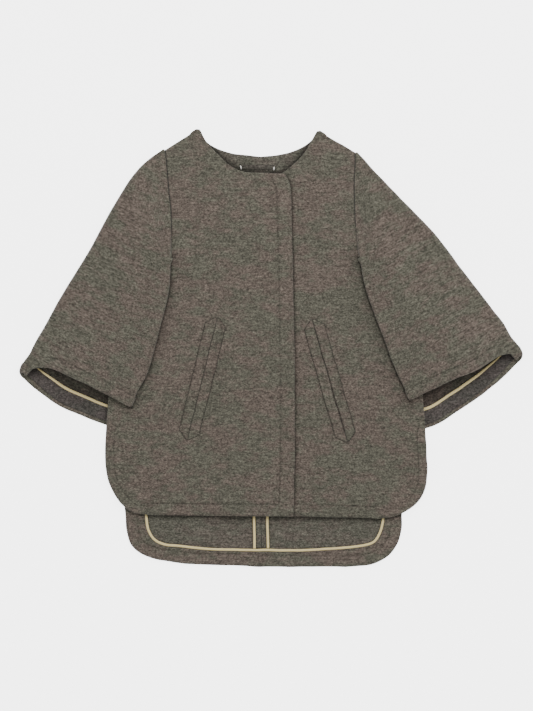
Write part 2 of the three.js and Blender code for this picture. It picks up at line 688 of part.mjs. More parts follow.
// The coat stands with the middle of its footprint at the origin.
const extent = new THREE.Box3().setFromObject(coat, true);
const middle = extent.getCenter(new THREE.Vector3());
coat.position.set(-middle.x, -middle.y, -extent.min.z);

export default coat;
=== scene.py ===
"""A child's wool cape coat, laid flat on its back and seen from straight above.

+Y points to the neck, +X is the wearer's left and +Z is up. The outlines and heights are the
solids' own, worked out in millimetres and put into the frame, and every surface is a numpy grid.
"""
import math

import bpy
import numpy as np
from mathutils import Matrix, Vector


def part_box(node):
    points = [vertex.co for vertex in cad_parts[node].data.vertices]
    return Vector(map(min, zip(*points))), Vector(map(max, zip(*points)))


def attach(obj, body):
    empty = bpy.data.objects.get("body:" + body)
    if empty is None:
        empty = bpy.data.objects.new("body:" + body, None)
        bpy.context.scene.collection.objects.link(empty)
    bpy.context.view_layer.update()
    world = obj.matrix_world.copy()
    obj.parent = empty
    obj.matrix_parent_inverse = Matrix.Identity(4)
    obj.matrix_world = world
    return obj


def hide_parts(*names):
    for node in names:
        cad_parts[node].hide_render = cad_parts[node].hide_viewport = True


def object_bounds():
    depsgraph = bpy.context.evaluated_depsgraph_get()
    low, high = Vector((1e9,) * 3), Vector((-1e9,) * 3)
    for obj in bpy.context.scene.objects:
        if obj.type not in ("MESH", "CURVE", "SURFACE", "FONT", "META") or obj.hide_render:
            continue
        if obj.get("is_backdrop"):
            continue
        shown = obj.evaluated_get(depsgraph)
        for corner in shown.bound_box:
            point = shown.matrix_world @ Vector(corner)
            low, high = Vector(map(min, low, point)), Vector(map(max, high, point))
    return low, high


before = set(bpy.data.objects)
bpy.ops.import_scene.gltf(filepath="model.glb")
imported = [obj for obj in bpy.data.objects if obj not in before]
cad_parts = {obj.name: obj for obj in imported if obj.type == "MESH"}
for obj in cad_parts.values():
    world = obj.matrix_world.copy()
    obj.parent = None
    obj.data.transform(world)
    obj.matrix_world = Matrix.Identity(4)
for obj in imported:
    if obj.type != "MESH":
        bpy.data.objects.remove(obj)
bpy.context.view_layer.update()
MM = 0.001

# Thicknesses and gaps of the cloth, in millimetres.
CLOTH = 2.5
LAYER_GAP = 0.5
PITCH = CLOTH + LAYER_GAP
FACING = 1.2
BINDING = 1.6
ALLOWANCE_CLOTH = 0.8 * FACING
HEM_BINDING = 0.75 * BINDING
THIN_BINDING = 0.7 * BINDING
UNDER_STRIP = 0.05
SOLID_GAP = 0.3
SEAM_GAP = 0.08

# Where the centre-back seam and the left front's hidden edge are, and how high the cloth puffs.
CENTRE_BACK = -12.5
UNDERLAP_EDGE = -44.0
OUTER_ROLL = 5.0
SLEEVE_CROWN = 3.0
CUFF_CROWN = 7.0
FRONT_PUFF = 2.3
CHEST_BILLOW = 2.5

# The solids' box says how far the outlines below are moved to centre the coat.
SHIFT_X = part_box("back_right")[1][0] / MM - (CENTRE_BACK - SOLID_GAP)
SHIFT_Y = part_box("back_left")[0][1] / MM + 273.0


def points(x, y):
    """A table of points with the columns x and y, in millimetres."""
    return np.array([x, y], float).T


# Outlines of each half, from the neck end to the hem end. A cuff runs from the outer fold inwards.
RIGHT = {
    "inward": 1,
    "grain": -20.0,
    "cuff_slant": np.array([0.0, -11.0]),
    "overarm": points(
        x=[-135.5, -151, -172.5, -197.5, -225, -255, -277.5, -313],
        y=[247, 236, 214.5, 175, 125, 75, 35, -24],
    ),
    "armhole": points(x=[-132, -127.5, -124, -124], y=[246, 200.5, 157.5, 112.5]),
    "underarm": points(x=[-124, -130, -142, -156], y=[112.5, 91, 76, 70]),
    "front_fold": points(
        x=[-124, -126.5, -139, -153, -167, -174.5], y=[112.5, 72.5, 20, -29, -56, -74]
    ),
    "back_fold": points(x=[-124, -126.5, -139, -153, -179], y=[112.5, 72.5, 20, -29, -104]),
    "valley": points(x=[-156, -181, -197, -201], y=[70, 12.5, -30, -48]),
    "front_cuff": points(
        x=[-305, -297, -287.5, -269, -251, -216, -174.5], y=[-18, -18.5, -22, -27.5, -35, -52, -74]
    ),
    "back_cuff": points(
        x=[-307, -301.3, -285, -260, -237, -208.5, -179],
        y=[-38.5, -44.3, -57.7, -74, -84.2, -95.3, -104],
    ),
    "front_side": points(
        x=[-156, -181, -197, -203, -206.5, -205, -199, -186, -172.5, -154],
        y=[70, 12.5, -30, -65, -130, -155, -175, -194.5, -205, -208],
    ),
    "back_side": points(
        x=[-156, -181, -197, -197, -194.5, -182, -180.5, -175, -162.5, -141, -107.5],
        y=[70, 12.5, -30, -65, -115, -205, -227.5, -245, -256, -264, -269.5],
    ),
    "neckline": points(
        x=[-89.3, -79.5, -58, -47, -36, -4, 17.5], y=[274, 256.5, 233, 224.5, 220, 218, 217]
    ),
    "front_edge": points(x=[17.5, 23, 26, 28.5, 29.5, 28], y=[217, 205, 147.5, 60, -115, -210]),
    "back_neck": points(
        x=[-89.3, -85, -77.5, -64.5, -47, CENTRE_BACK - 0.02],
        y=[274, 263, 255.2, 247.7, 242.7, 238.7],
    ),
    "back_centre": points(x=[CENTRE_BACK - 0.02] * 2, y=[238.7, -273]),
    # The line where a panel starts to lie over the folded sleeve.
    "rest": points(
        x=[-205, -184, -174.5, -153, -139, -126.5, -124, -124, -127.5, -132],
        y=[-175, -110, -74, -29, 20, 72.5, 112.5, 157.5, 200.5, 246],
    ),
    "shoulder": points(x=[-132, -89.3], y=[246, 274]),
    "pocket": points(x=[-66.8, -104.3], y=[37.6, -113.9]),
    "slit": (0.4, 0.4),
}

LEFT = {
    "inward": -1,
    "grain": 24.0,
    "cuff_slant": np.array([-1.5, -12.0]),
    "overarm": points(
        x=[109, 124, 142.5, 172.5, 201, 225, 256, 314.5],
        y=[244.5, 226, 206, 175.5, 146, 115, 75, -2.5],
    ),
    "armhole": points(x=[105, 103.5, 105, 110], y=[243, 197.5, 154, 112.5]),
    "underarm": points(x=[110, 117, 130, 144], y=[112.5, 91, 76, 70]),
    "front_fold": points(
        x=[110, 116.5, 127.5, 140.5, 151.5, 173], y=[112.5, 79, 45.5, 12.5, -19, -65.5]
    ),
    "back_fold": points(x=[110, 116.5, 127.5, 140.5, 169], y=[112.5, 79, 45.5, 12.5, -107.5]),
    "valley": points(x=[144, 169, 184.5, 187.5], y=[70, 12.5, -30, -42]),
    "front_cuff": points(x=[307, 294.5, 276, 257.5, 221, 173], y=[2, -3, -15, -26.5, -41.5, -65.5]),
    "back_cuff": points(
        x=[307.5, 303.5, 287.5, 254.7, 230.7, 204.9, 169],
        y=[-18.3, -22.5, -38.2, -64, -79.9, -95.9, -107.5],
    ),
    "front_side": points(
        x=[144, 169, 184.5, 189, 194, 194.5, 192.5, 186, 175.5, 156.5, 135],
        y=[70, 12.5, -30, -60, -135, -157, -174, -188, -199, -209, -212.5],
    ),
    "back_side": points(
        x=[144, 169, 184.5, 181, 177, 164, 163, 157.5, 146, 127.5, 92.5],
        y=[70, 12.5, -30, -65, -115, -205, -225, -244, -259.5, -269.5, -273],
    ),
    "neckline": points(
        x=[57.5, 50, 43.5, 32.5, 21.5, 13, -11, UNDERLAP_EDGE],
        y=[272, 256.5, 246, 233, 223, 218, 215.5, 215],
    ),
    "front_edge": points(x=[UNDERLAP_EDGE] * 2, y=[215, -208]),
    "back_neck": points(
        x=[57.5, 53, 45.5, 28.5, 9, CENTRE_BACK + 0.02],
        y=[272, 261.5, 254.2, 245.7, 240.7, 238.7],
    ),
    "back_centre": points(x=[CENTRE_BACK + 0.02] * 2, y=[238.7, -273]),
    "rest": points(
        x=[197, 172, 165, 151.5, 140.5, 127.5, 116.5, 110, 105, 103.5, 105],
        y=[-175, -107.5, -65.5, -19, 12.5, 45.5, 79, 112.5, 154, 197.5, 243],
    ),
    "shoulder": points(x=[105, 57.5], y=[243, 272]),
    "pocket": points(x=[51.3, 94.8], y=[35.8, -116.6]),
    "slit": (0.6, 1.4),
}
HALVES = {"right": RIGHT, "left": LEFT}


# Lines and simple functions

def smooth(value, low, high):
    """The cubic step from 0 at low to 1 at high."""
    t = np.clip((value - low) / (high - low), 0, 1)
    return t * t * (3 - 2 * t)


def mix(a, b, t):
    return a + (b - a) * t


def bell(distance, reach):
    """1 on a line, falling away over a reach as e to the minus square of distance over reach."""
    return np.exp(-((distance / reach) ** 2))


def crowded(count):
    """Shares from 0 to 1 that crowd towards both ends, spaced as half a cosine wave."""
    return 0.5 - 0.5 * np.cos(np.linspace(0, math.pi, count))


def unit(vectors):
    """Vectors along the last axis, brought to length 1."""
    return vectors / np.linalg.norm(vectors, axis=-1, keepdims=True)


def length_along(line):
    """Running length at each point of a polyline."""
    steps = np.linalg.norm(np.diff(line, axis=0), axis=1)
    return np.concatenate([[0], np.cumsum(steps)])


def smooth_line(table, samples=40):
    """The centripetal Catmull-Rom curve through a table: between two points it is the cubic whose
    end slopes come from the points before and after, spaced by the root of their distances."""
    ends = [2 * table[0] - table[1]], [2 * table[-1] - table[-2]]
    p = np.concatenate([ends[0], table, ends[1]])
    gap = np.sqrt(np.linalg.norm(np.diff(p, axis=0), axis=1))[:, None]
    slope = np.diff(p, axis=0) / gap
    middle = (p[2:] - p[:-2]) / (gap[1:] + gap[:-1])
    tangent = slope[:-1] - middle + slope[1:]
    start, end = p[1:-2], p[2:-1]
    leave, arrive = tangent[:-1] * gap[1:-1], tangent[1:] * gap[1:-1]
    t = np.linspace(0, 1, samples, endpoint=False)[:, None, None]
    cubic = (
        start
        + leave * t
        + (3 * (end - start) - 2 * leave - arrive) * t**2
        + (2 * (start - end) + leave + arrive) * t**3
    )
    return np.concatenate([cubic.transpose(1, 0, 2).reshape(-1, 2), table[-1:]])


def at(line, share):
    """Points of a polyline at shares of its length from 0 to 1."""
    run = length_along(line)
    run /= run[-1]
    return np.stack([np.interp(share, run, column) for column in line.T], -1)


def square_to(line, share, sign):
    """Unit vectors square to a downward line: towards +X, or towards -X where sign is -1."""
    step = 0.004
    ahead = at(line, np.clip(share + step, 0, 1)) - at(line, np.clip(share - step, 0, 1))
    return sign * unit(np.stack([-ahead[:, 1], ahead[:, 0]], -1))


def distance_to(place, line):
    """Distance from each point (last axis x, y) to a polyline."""
    flat = place.reshape(-1, 2)
    start, along = line[:-1], np.diff(line, axis=0)
    length = np.maximum((along**2).sum(1), 1e-9)
    nearest = np.full(len(flat), 1e9)
    for a, v, size in zip(start, along, length):
        t = np.clip((flat - a) @ v / size, 0, 1)
        gap = ((flat - a - t[:, None] * v) ** 2).sum(1)
        nearest = np.minimum(nearest, gap)
    return np.sqrt(nearest).reshape(place.shape[:-1])


def soft_noise(x, y, size, seed):
    """Smooth noise from -1 to 1: a lattice of random heights, size apart, joined by cubic steps."""
    lattice = np.random.default_rng(seed).uniform(-1, 1, (64, 64))
    u, v = x / size + 31.3, y / size + 17.7
    i, j = np.floor(u).astype(int), np.floor(v).astype(int)
    a, b = smooth(u - i, 0, 1), smooth(v - j, 0, 1)
    corner = [lattice[(i + di) % 64, (j + dj) % 64] for di in (0, 1) for dj in (0, 1)]
    return mix(mix(corner[0], corner[1], b), mix(corner[2], corner[3], b), a)


def spaced(length, coarse, fine_at, fine=0.22, growth=0.3):
    """Positions from 0 to length whose steps are fine near each place in fine_at and grow to coarse."""
    dense = np.linspace(0, length, 6000)
    near = np.min([np.abs(dense - place) for place in fine_at], axis=0)
    rate = 1 / np.minimum(coarse, fine + growth * near)
    count = np.concatenate([[0], np.cumsum((rate[1:] + rate[:-1]) / 2 * np.diff(dense))])
    steps = int(math.ceil(count[-1]))
    return np.interp(np.linspace(0, count[-1], steps + 1), count, dense)


# Heights of the layers

def level(layers):
    """The middle of a layer of cloth with this many layers under it."""
    return CLOTH / 2 + layers * PITCH


LIFT = {"full": 4, "gone": 62, "arm_top": 185, "arm_full": 113, "cuff_full": -112, "cuff_gone": -168}
PUFF = {"start": 3, "full": 45, "shoulder": 26, "vent_top": -105, "vent_open": -150}
BILLOW = {"y": 20, "reach": 190, "width": 70}
RIPPLE = {"height": 0.7, "size": 74, "seed": 3}
SHOULDER_DIP = {"depth": 0.4, "reach": 10}
UNDERLAP_RAMP = (26, 5)
FACED = {"plump": 0.9, "rise": 3, "ease": 2, "groove": 0.5, "groove_reach": 1.2}


def by_half(x, y, function):
    """A value worked out for the half that each point is on."""
    return np.where(x < CENTRE_BACK, function(RIGHT, x, y), function(LEFT, x, y))


def inside_rest(half, x, y):
    return half["inward"] * (x - np.interp(y, half["rest"][:, 1], half["rest"][:, 0]))


def shoulder_distance(half, x, y):
    tip, neck = half["shoulder"]
    along = math.atan2(*(neck - tip)[::-1])
    return np.abs(math.sin(along) * (x - tip[0]) - math.cos(along) * (y - tip[1]))


def lift(x, y):
    """Twice the layers' pitch where the body lies on the folded sleeve, falling away inwards."""
    across = 1 - smooth(by_half(x, y, inside_rest), LIFT["full"], LIFT["gone"])
    above = 1 - smooth(y, LIFT["arm_full"], LIFT["arm_top"])
    below = smooth(y, LIFT["cuff_gone"], LIFT["cuff_full"])
    return 2 * PITCH * across * above * below


def back_middle(x, y):
    return level(0) + lift(x, y)


def front_middle(x, y, covers):
    """The front's height: the back's, one layer more, and the puff and billow away from seams."""
    inside = by_half(x, y, inside_rest)
    opened = smooth(-y, -PUFF["vent_top"], -PUFF["vent_open"])
    edge = mix(smooth(inside, PUFF["start"], PUFF["full"]), 1, opened)
    shoulder = smooth(by_half(x, y, shoulder_distance), 0, PUFF["shoulder"])
    middle = 1 - smooth(np.abs(y - BILLOW["y"]), 0, BILLOW["reach"])
    billow = CHEST_BILLOW * middle * smooth(inside, PUFF["start"], BILLOW["width"])
    noise = soft_noise(x, y, RIPPLE["size"], RIPPLE["seed"])
    ripple = RIPPLE["height"] * edge * shoulder * (1 + noise)
    start, end = UNDERLAP_RAMP
    over = smooth(x, UNDERLAP_EDGE - start, UNDERLAP_EDGE - end) if covers else 0
    return level(1) + lift(x, y) + FRONT_PUFF * edge * shoulder + billow + ripple + over * PITCH


def faced(distance, depth):
    """How a faced edge stands up: it rises from the edge, falls away at the stitches' depth, and is
    pulled in along them by a groove that is a bell across."""
    falling = 1 - smooth(distance, depth - FACED["ease"], depth + FACED["ease"])
    plump = FACED["plump"] * smooth(distance, 0, FACED["rise"]) * falling
    return plump - FACED["groove"] * bell(distance - depth, FACED["groove_reach"])


# Meshes

material_of = {}
made = {}

# Pulls in millimetres with the size of their waves, and the first seed along X and along Y.
PULLS = ((0.35, 14), (0.5, 37))
PULL_SEEDS = (21, 31)


def uneven(vertices):
    """The whole coat, pulled about in plan by up to a millimetre, so that no edge is quite even."""
    x, y = vertices[:, 0], vertices[:, 1]
    pulls = [
        sum(pull * soft_noise(x, y, size, seed + k) for k, (pull, size) in enumerate(PULLS))
        for seed in PULL_SEEDS
    ]
    return vertices + np.stack([*pulls, 0 * x], -1)


def new_object(name, vertices, faces, material, coordinates=None, smooth_shading=True):
    """A mesh object at the origin from millimetre vertices, quads or triangles, and UVs."""
    vertices = np.asarray(vertices, float).reshape(-1, 3)
    moved = (uneven(vertices) + [SHIFT_X, SHIFT_Y, 0]) * MM
    faces = np.asarray(faces)
    mesh = bpy.data.meshes.new(name)
    mesh.vertices.add(len(moved))
    mesh.vertices.foreach_set("co", moved.astype(np.float32).ravel())
    corners = faces.shape[1]
    mesh.loops.add(faces.size)
    mesh.loops.foreach_set("vertex_index", faces.astype(np.int32).ravel())
    mesh.polygons.add(len(faces))
    mesh.polygons.foreach_set("loop_start", np.arange(0, faces.size, corners, dtype=np.int32))
    mesh.polygons.foreach_set("use_smooth", np.full(len(faces), smooth_shading))
    mesh.update(calc_edges=True)
    if coordinates is not None:
        layer = mesh.uv_layers.new(name="cut")
        layer.data.foreach_set("uv", coordinates[faces.ravel()].astype(np.float32).ravel())
    mesh.materials.append(material_of[material])
    mesh.validate()
    piece = bpy.data.objects.new(name, mesh)
    bpy.context.scene.collection.objects.link(piece)
    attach(piece, "root")
    made[name] = piece
    return piece


def grid_quads(rows, columns, closed, start=0):
    """The quads of a grid of vertices that starts at an index. A closed grid joins its sides."""
    i = np.arange(rows - 1)[:, None]
    j = np.arange(columns if closed else columns - 1)[None]
    ahead = (j + 1) % columns
    corner = [i * columns + j, (i + 1) * columns + j, (i + 1) * columns + ahead, i * columns + ahead]
    return start + np.stack(corner, -1).reshape(-1, 4)


def rim_quads(top, bottom):
    """The quads between two matching runs of vertex indices."""
    return np.stack([top[:-1], top[1:], bottom[1:], bottom[:-1]], -1)


def cloth_solid(upper, lower, closed):
    """Vertices and outward quads of the closed solid between two matching grids of points."""
    rows, columns = upper.shape[:2]
    index = np.arange(rows * columns).reshape(rows, columns)
    under = index + rows * columns
    quads = [
        grid_quads(rows, columns, closed),
        grid_quads(rows, columns, closed, rows * columns)[:, ::-1],
    ]
    ring = np.append(np.arange(columns), 0) if closed else np.arange(columns)
    quads.append(rim_quads(index[0][ring], under[0][ring]))
    quads.append(rim_quads(under[-1][ring], index[-1][ring]))
    if not closed:
        quads.append(rim_quads(under[:, 0], index[:, 0]))
        quads.append(rim_quads(index[:, -1], under[:, -1]))
    vertices = np.concatenate([upper.reshape(-1, 3), lower.reshape(-1, 3)])
    quads = np.concatenate(quads)
    if signed_volume(vertices, quads) < 0:
        quads = quads[:, ::-1]
    return vertices, quads


def signed_volume(vertices, quads):
    """Six times the volume inside the quads: positive where they face outwards."""
    a, b, c, d = (vertices[quads[:, k]] for k in range(4))
    return (np.einsum("ij,ij->i", a, np.cross(b, c)) + np.einsum("ij,ij->i", a, np.cross(c, d))).sum()


def grid_normals(grid, closed):
    """Unit normals of a grid of points, from its neighbours along and across."""
    along = np.gradient(grid, axis=0)
    if closed:
        across = np.roll(grid, -1, axis=1) - np.roll(grid, 1, axis=1)
    else:
        across = np.gradient(grid, axis=1)
    normal = np.cross(along, across)
    return normal / np.maximum(np.linalg.norm(normal, axis=2, keepdims=True), 1e-9)


FOLD_LEAN = (0.8, 0.55)


def cut_coordinates(vertices, turned=0.0, place=(0, 0)):
    """UVs in metres: the plan turned to the cloth's grain and moved to its own place on the cloth.
    A sleeve's also move with its height, so that the steep outer fold draws them out less."""
    angle = math.radians(turned)
    turn = np.array([[math.cos(angle), -math.sin(angle)], [math.sin(angle), math.cos(angle)]])
    side = np.sign(turned)
    lean = vertices[:, 2:] * [FOLD_LEAN[0] * side, FOLD_LEAN[1] * abs(side)]
    return (vertices[:, :2] + lean) @ turn * MM + place


# Finishes

# The wool's noises: sizes across and along the grain in millimetres, detail, depth and roughness.
WOOL_NOISE = {
    "patches": (80, 50, 1.0, 0.0, 0.5),
    "drifts": (23, 13, 2.0, 2.3, 0.55),
    "flecks": (7, 4.2, 2.0, 4.9, 0.6),
    "slubs": (17, 2.4, 3.0, 3.1, 0.6),
    "mottle": (6.5, 4.0, 2.0, 7.3, 0.6),
    "heather": (2.5, 1.8, 3.0, 5.7, 0.65),
    "fibres": (0.95, 0.6, 2.0, 9.2, 0.6),
}
# How light the wool is at values of a noise, and where its olive turns to brown.
WOOL_TONES = {
    "heather": ((0.3, 0.4), (0.5, 0.97), (0.7, 1.68)),
    "fibres": ((0.3, 0.62), (0.5, 1.0), (0.7, 1.5)),
    "mottle": ((0.3, 0.86), (0.7, 1.13)),
    "slubs": ((0.3, 0.76), (0.7, 1.22)),
}
WOOL_HUES = ((0.645, 0), (0.81, 1))
DRIFT_SHARE = 1.4
FLECK_SHARE = 0.5
# How dark a colour is under full painted shade.
PAINTED_SHADE_TONE = 0.3
BINDING_THREAD = 0.11
SPUN_SIZE = 0.35


def new_material(name, **values):
    """A material whose shader's own sockets take the values. Returns a function that makes nodes in
    it, and one that plugs an output into the shader."""
    material = bpy.data.materials.new(name)
    material.use_nodes = True
    material_of[name] = material
    tree = material.node_tree
    shader = tree.nodes["Principled BSDF"]
    for key, value in values.items():
        shader.inputs[key.replace("_", " ")].default_value = value

    def make(kind, **settings):
        """A node of that kind: a setting that is a socket's name is its value, or is linked."""
        node = tree.nodes.new(kind)
        for name, value in settings.items():
            if hasattr(node, name):
                setattr(node, name, value)
                continue
            key = int(name[1:]) if name[0] == "_" else name.replace("_", " ")
            if isinstance(value, bpy.types.NodeSocket):
                tree.links.new(value, node.inputs[key])
            else:
                node.inputs[key].default_value = value
        return node

    def plug(socket, output):
        tree.links.new(output, shader.inputs[socket])

    return make, plug


def ramp(make, value, *stops):
    """A grey ramp over a value, from stops of (position, how light)."""
    node = make("ShaderNodeValToRGB", _0=value)
    elements = node.color_ramp.elements
    while len(elements) < len(stops):
        elements.new(0.5)
    for element, (position, tone) in zip(elements, stops):
        element.position = position
        element.color = (tone, tone, tone, 1)
    return node.outputs[0]


def worked_out(make, operation, *values):
    """A sum or product of outputs and numbers."""
    inputs = {f"_{number}": value for number, value in enumerate(values)}
    return make("ShaderNodeMath", operation=operation, **inputs).outputs[0]


def cloth_noise(make, across, along, detail, depth=0.0, roughness=0.5):
    """Noise on the cloth itself, with features of those sizes across and along its grain."""
    cut = make("ShaderNodeUVMap", uv_map="cut").outputs[0]
    scale = (1 / (across * MM), 1 / (along * MM), 1)
    vector = make("ShaderNodeMapping", Vector=cut, Scale=scale, Location=(0, 0, depth)).outputs[0]
    return make(
        "ShaderNodeTexNoise", Vector=vector, Scale=1.0, Detail=detail, Roughness=roughness
    ).outputs[0]


def mixed(make, factor, a, b, blend="MIX"):
    """Two colours blended by a factor. Each of the three is a value or an output."""
    node = make("ShaderNodeMix", data_type="RGBA", blend_type=blend)
    tree = node.id_data
    for socket, value in zip((node.inputs[0], node.inputs[6], node.inputs[7]), (factor, a, b)):
        if isinstance(value, bpy.types.NodeSocket):
            tree.links.new(value, socket)
        else:
            socket.default_value = value if isinstance(value, float) else (*value, 1)
    return node.outputs[2]


def shaded(make, colour):
    """A colour darkened by painted shade where the piece's shade attribute is high: in creases, grooves
    and close under an edge.
    """
    painted_shade = make("ShaderNodeAttribute", attribute_name="painted_shade").outputs["Fac"]
    return mixed(make, painted_shade, colour, mixed(make, 1.0, colour, (PAINTED_SHADE_TONE,) * 3, "MULTIPLY"))


def wool_finish(name, olive, brown):
    """Heathered wool: olive and brown fibres in drifting patches and slubs, under a short nap."""
    make, plug = new_material(
        name, Roughness=0.95, Specular_IOR_Level=0.12, Sheen_Weight=0.18, Sheen_Roughness=0.55
    )
    noise = {key: cloth_noise(make, *values) for key, values in WOOL_NOISE.items()}
    hue = worked_out(make, "MULTIPLY_ADD", noise["drifts"], DRIFT_SHARE, noise["patches"])
    hue = worked_out(make, "MULTIPLY_ADD", noise["flecks"], FLECK_SHARE, hue)
    brownness = ramp(make, worked_out(make, "MULTIPLY", hue, 0.5), *WOOL_HUES)
    colour = mixed(make, brownness, olive, brown)
    for key, stops in WOOL_TONES.items():
        colour = mixed(make, 1.0, colour, ramp(make, noise[key], *stops), "MULTIPLY")
    coarse = make("ShaderNodeBump", Strength=0.6, Distance=0.7 * MM, Height=noise["heather"])
    nap = make(
        "ShaderNodeBump", Strength=0.7, Distance=0.3 * MM, Height=noise["fibres"],
        Normal=coarse.outputs[0],
    )
    # Painted shade darkens the wool in creases, grooves and under edges.
    plug("Base Color", shaded(make, colour))
    plug("Normal", nap.outputs[0])


def binding_finish(name, colour):
    """Cream bias binding: a fine plain weave that crosses the strip at 45 degrees."""
    make, plug = new_material(name, Roughness=0.8, Specular_IOR_Level=0.2)
    cut = make("ShaderNodeUVMap", uv_map="cut").outputs[0]
    turned = make("ShaderNodeMapping", Vector=cut, Rotation=(0, 0, math.radians(45))).outputs[0]
    threads = [
        make(
            "ShaderNodeTexWave", Vector=turned, Scale=1 / (2 * math.pi * BINDING_THREAD * MM),
            bands_direction=direction, Distortion=0.6, Detail=1.0,
        ).outputs["Fac"]
        for direction in ("X", "Y")
    ]
    weave = worked_out(make, "MULTIPLY", *threads)
    wear = cloth_noise(make, 9, 3, 2.0)
    tone = mixed(
        make, 1.0, ramp(make, weave, (0.0, 0.92), (0.6, 1)), ramp(make, wear, (0.3, 0.94), (0.7, 1)),
        "MULTIPLY",
    )
    bump = make("ShaderNodeBump", Strength=0.5, Distance=0.12 * MM, Height=weave)
    # Painted shade darkens the binding under the front's rims.
    plug("Base Color", shaded(make, mixed(make, 1.0, colour, tone, "MULTIPLY")))
    plug("Normal", bump.outputs[0])


def thread_finish(name, colour):
    """Spun thread, lighter and darker in fine flecks."""
    make, plug = new_material(name, Roughness=0.75, Specular_IOR_Level=0.25)
    place = make("ShaderNodeTexCoord").outputs["Object"]
    spun = make(
        "ShaderNodeTexNoise", Vector=place, Scale=1 / (SPUN_SIZE * MM), Detail=2.0
    ).outputs[0]
    tone = ramp(make, spun, (0.3, 0.75), (0.7, 1.2))
    plug("Base Color", mixed(make, 1.0, colour, tone, "MULTIPLY"))


wool_finish("wool", (0.113, 0.108, 0.083), (0.134, 0.108, 0.089))
# The inside wool is a slightly darker copy of the wool: painted shade for the coat's inside.
wool_finish("wool_inside", (0.107, 0.103, 0.081), (0.12, 0.103, 0.085))
# The facing's wool is a much darker copy of the wool: painted shade for the shade deep in the cuff.
wool_finish("wool_facing", (0.079, 0.073, 0.064), (0.086, 0.073, 0.067))
wool_finish("label_cloth", (0.086, 0.08, 0.066), (0.094, 0.082, 0.07))
binding_finish("binding", (1.0, 0.82, 0.41))
thread_finish("wool_thread", (0.082, 0.076, 0.06))
thread_finish("light_thread", (0.95, 0.92, 0.85))


# Body panels

# Steps between rows and columns, shares of the inner edge, depths of the stitch lines, and lengths.
PANEL_STEP = 2.5
CORNER_STEP = 1.3
FIXED_ZONE = 22.0
NECK_SHARE = 0.35
EDGE_AT_FOLD = 0.2
EDGE_AT_UNDERARM = 0.32
HEM_DEPTH = 15.0
PLACKET_DEPTH = 18.0
SIDE_DEPTH = 11.0
CORNER_LENGTH = 70.0
BACK_FURTHER = 1.3
EDGE_ROUND = 1.9
EDGE_START = 2.2
# The seam's groove: its depth and round, how dark the painted shade in it is, and its reach.
SEAM_DIP = {"depth": 0.8, "round": 1.7, "dark": 0.45, "reach": 1.1}
BULGE = {"height": 1.3, "reach": 9, "start": (-2, 4), "end": (11, 14)}
BLUNT = {"length": 1.6, "reach": 4.5, "along": 0.4}

# How dark the painted shade in each stitch line's groove is, and its reach in millimetres.
STITCH_SHADES = {"hem": 0.62, "side": 0.5, "placket": 0.38}
GROOVE_REACH = 0.9

# The other painted shades beside a line: how dark they are, and their reach in millimetres.
FOLD_SHADE = (0.85, 2.8)
WIDE_FOLD_SHADE = {"right": (0.32, 9.0), "left": (0.32, 14.0)}
SLIT_SHADE = {"right": (0.6, 1.6), "left": (1.0, 1.6)}
FLY_SHADE = (0.85, 2.4)
NECK_RIM_SHADE = (0.85, 5.0)
HEM_RIM_SHADE = (0.7, 2.6)
MOUTH_SHADE = (0.8, 5.0)
FACING_SHADE = (0.5, 1.9)
ALLOWANCE_SHADE = (0.6, 1.5)
STRIP_SHADE = (0.4, 0.7)


def armhole_line(half, layer):
    """The armhole: the back's lies a little further out, so that no light comes through both."""
    line = smooth_line(half["armhole"])
    if layer == "front":
        return line
    share = length_along(line) / length_along(line)[-1]
    further = half["inward"] * BACK_FURTHER * (1 - share**4)
    return line - np.stack([further, 0 * share], -1)


def panel_plan(half, layer, neck, edge, outer_fine, inner_fine, hem_fine):
    """The plan of a body panel: each row is the straight line from the outer edge to the inner edge,
    at the same share of matching stretches, with rows and columns crowded at edges and stitches.
    Returns the plan, and how many rows are beside the neckline and beside the armhole."""
    armhole, edge_line = armhole_line(half, layer), smooth_line(half[edge])
    side = smooth_line(half[f"{layer}_side"])
    stretches = [
        (armhole, 0, NECK_SHARE, smooth_line(half[neck]), 0, 1),
        (armhole, NECK_SHARE, 1, edge_line, 0, EDGE_AT_FOLD),
        (smooth_line(half["underarm"]), 0, 1, edge_line, EDGE_AT_FOLD, EDGE_AT_UNDERARM),
        (side, 0, 1, edge_line, EDGE_AT_UNDERARM, 1),
    ]
    outer, inner, counts = [], [], []
    for number, (a, a0, a1, b, b0, b1) in enumerate(stretches):
        run = (length_along(a)[-1] * (a1 - a0) + length_along(b)[-1] * (b1 - b0)) / 2
        if number == 3:
            corner = spaced(CORNER_LENGTH, CORNER_STEP, hem_fine)
            upper = spaced(run - CORNER_LENGTH, PANEL_STEP, [run - CORNER_LENGTH], CORNER_STEP)
            place = np.concatenate([upper, (run - corner[::-1])[1:]])
        else:
            place = spaced(run, PANEL_STEP, [0.0] if number == 0 else [-1e3])
        share = (place if number == 0 else place[1:]) / run
        outer.append(at(a, mix(a0, a1, share)))
        inner.append(at(b, mix(b0, b1, share)))
        counts.append(len(share))
    outer, inner = np.concatenate(outer), np.concatenate(inner)
    outer = outer + [half["inward"] * SEAM_GAP, 0]
    width = np.linalg.norm(inner - outer, axis=1)
    widest, zone = width.max(), FIXED_ZONE
    place = spaced(widest, PANEL_STEP, [*outer_fine, *(widest - depth for depth in inner_fine)])
    stretch = np.clip((place - zone) / (widest - 2 * zone), 0, 1)
    fixed = np.minimum(place, zone) + np.maximum(place - widest + zone, 0)
    across = fixed + stretch * (width[:, None] - 2 * zone)
    plan = mix(outer[:, None], inner[:, None], (across / width[:, None])[..., None])
    return plan, counts[0], counts[0] + counts[1]


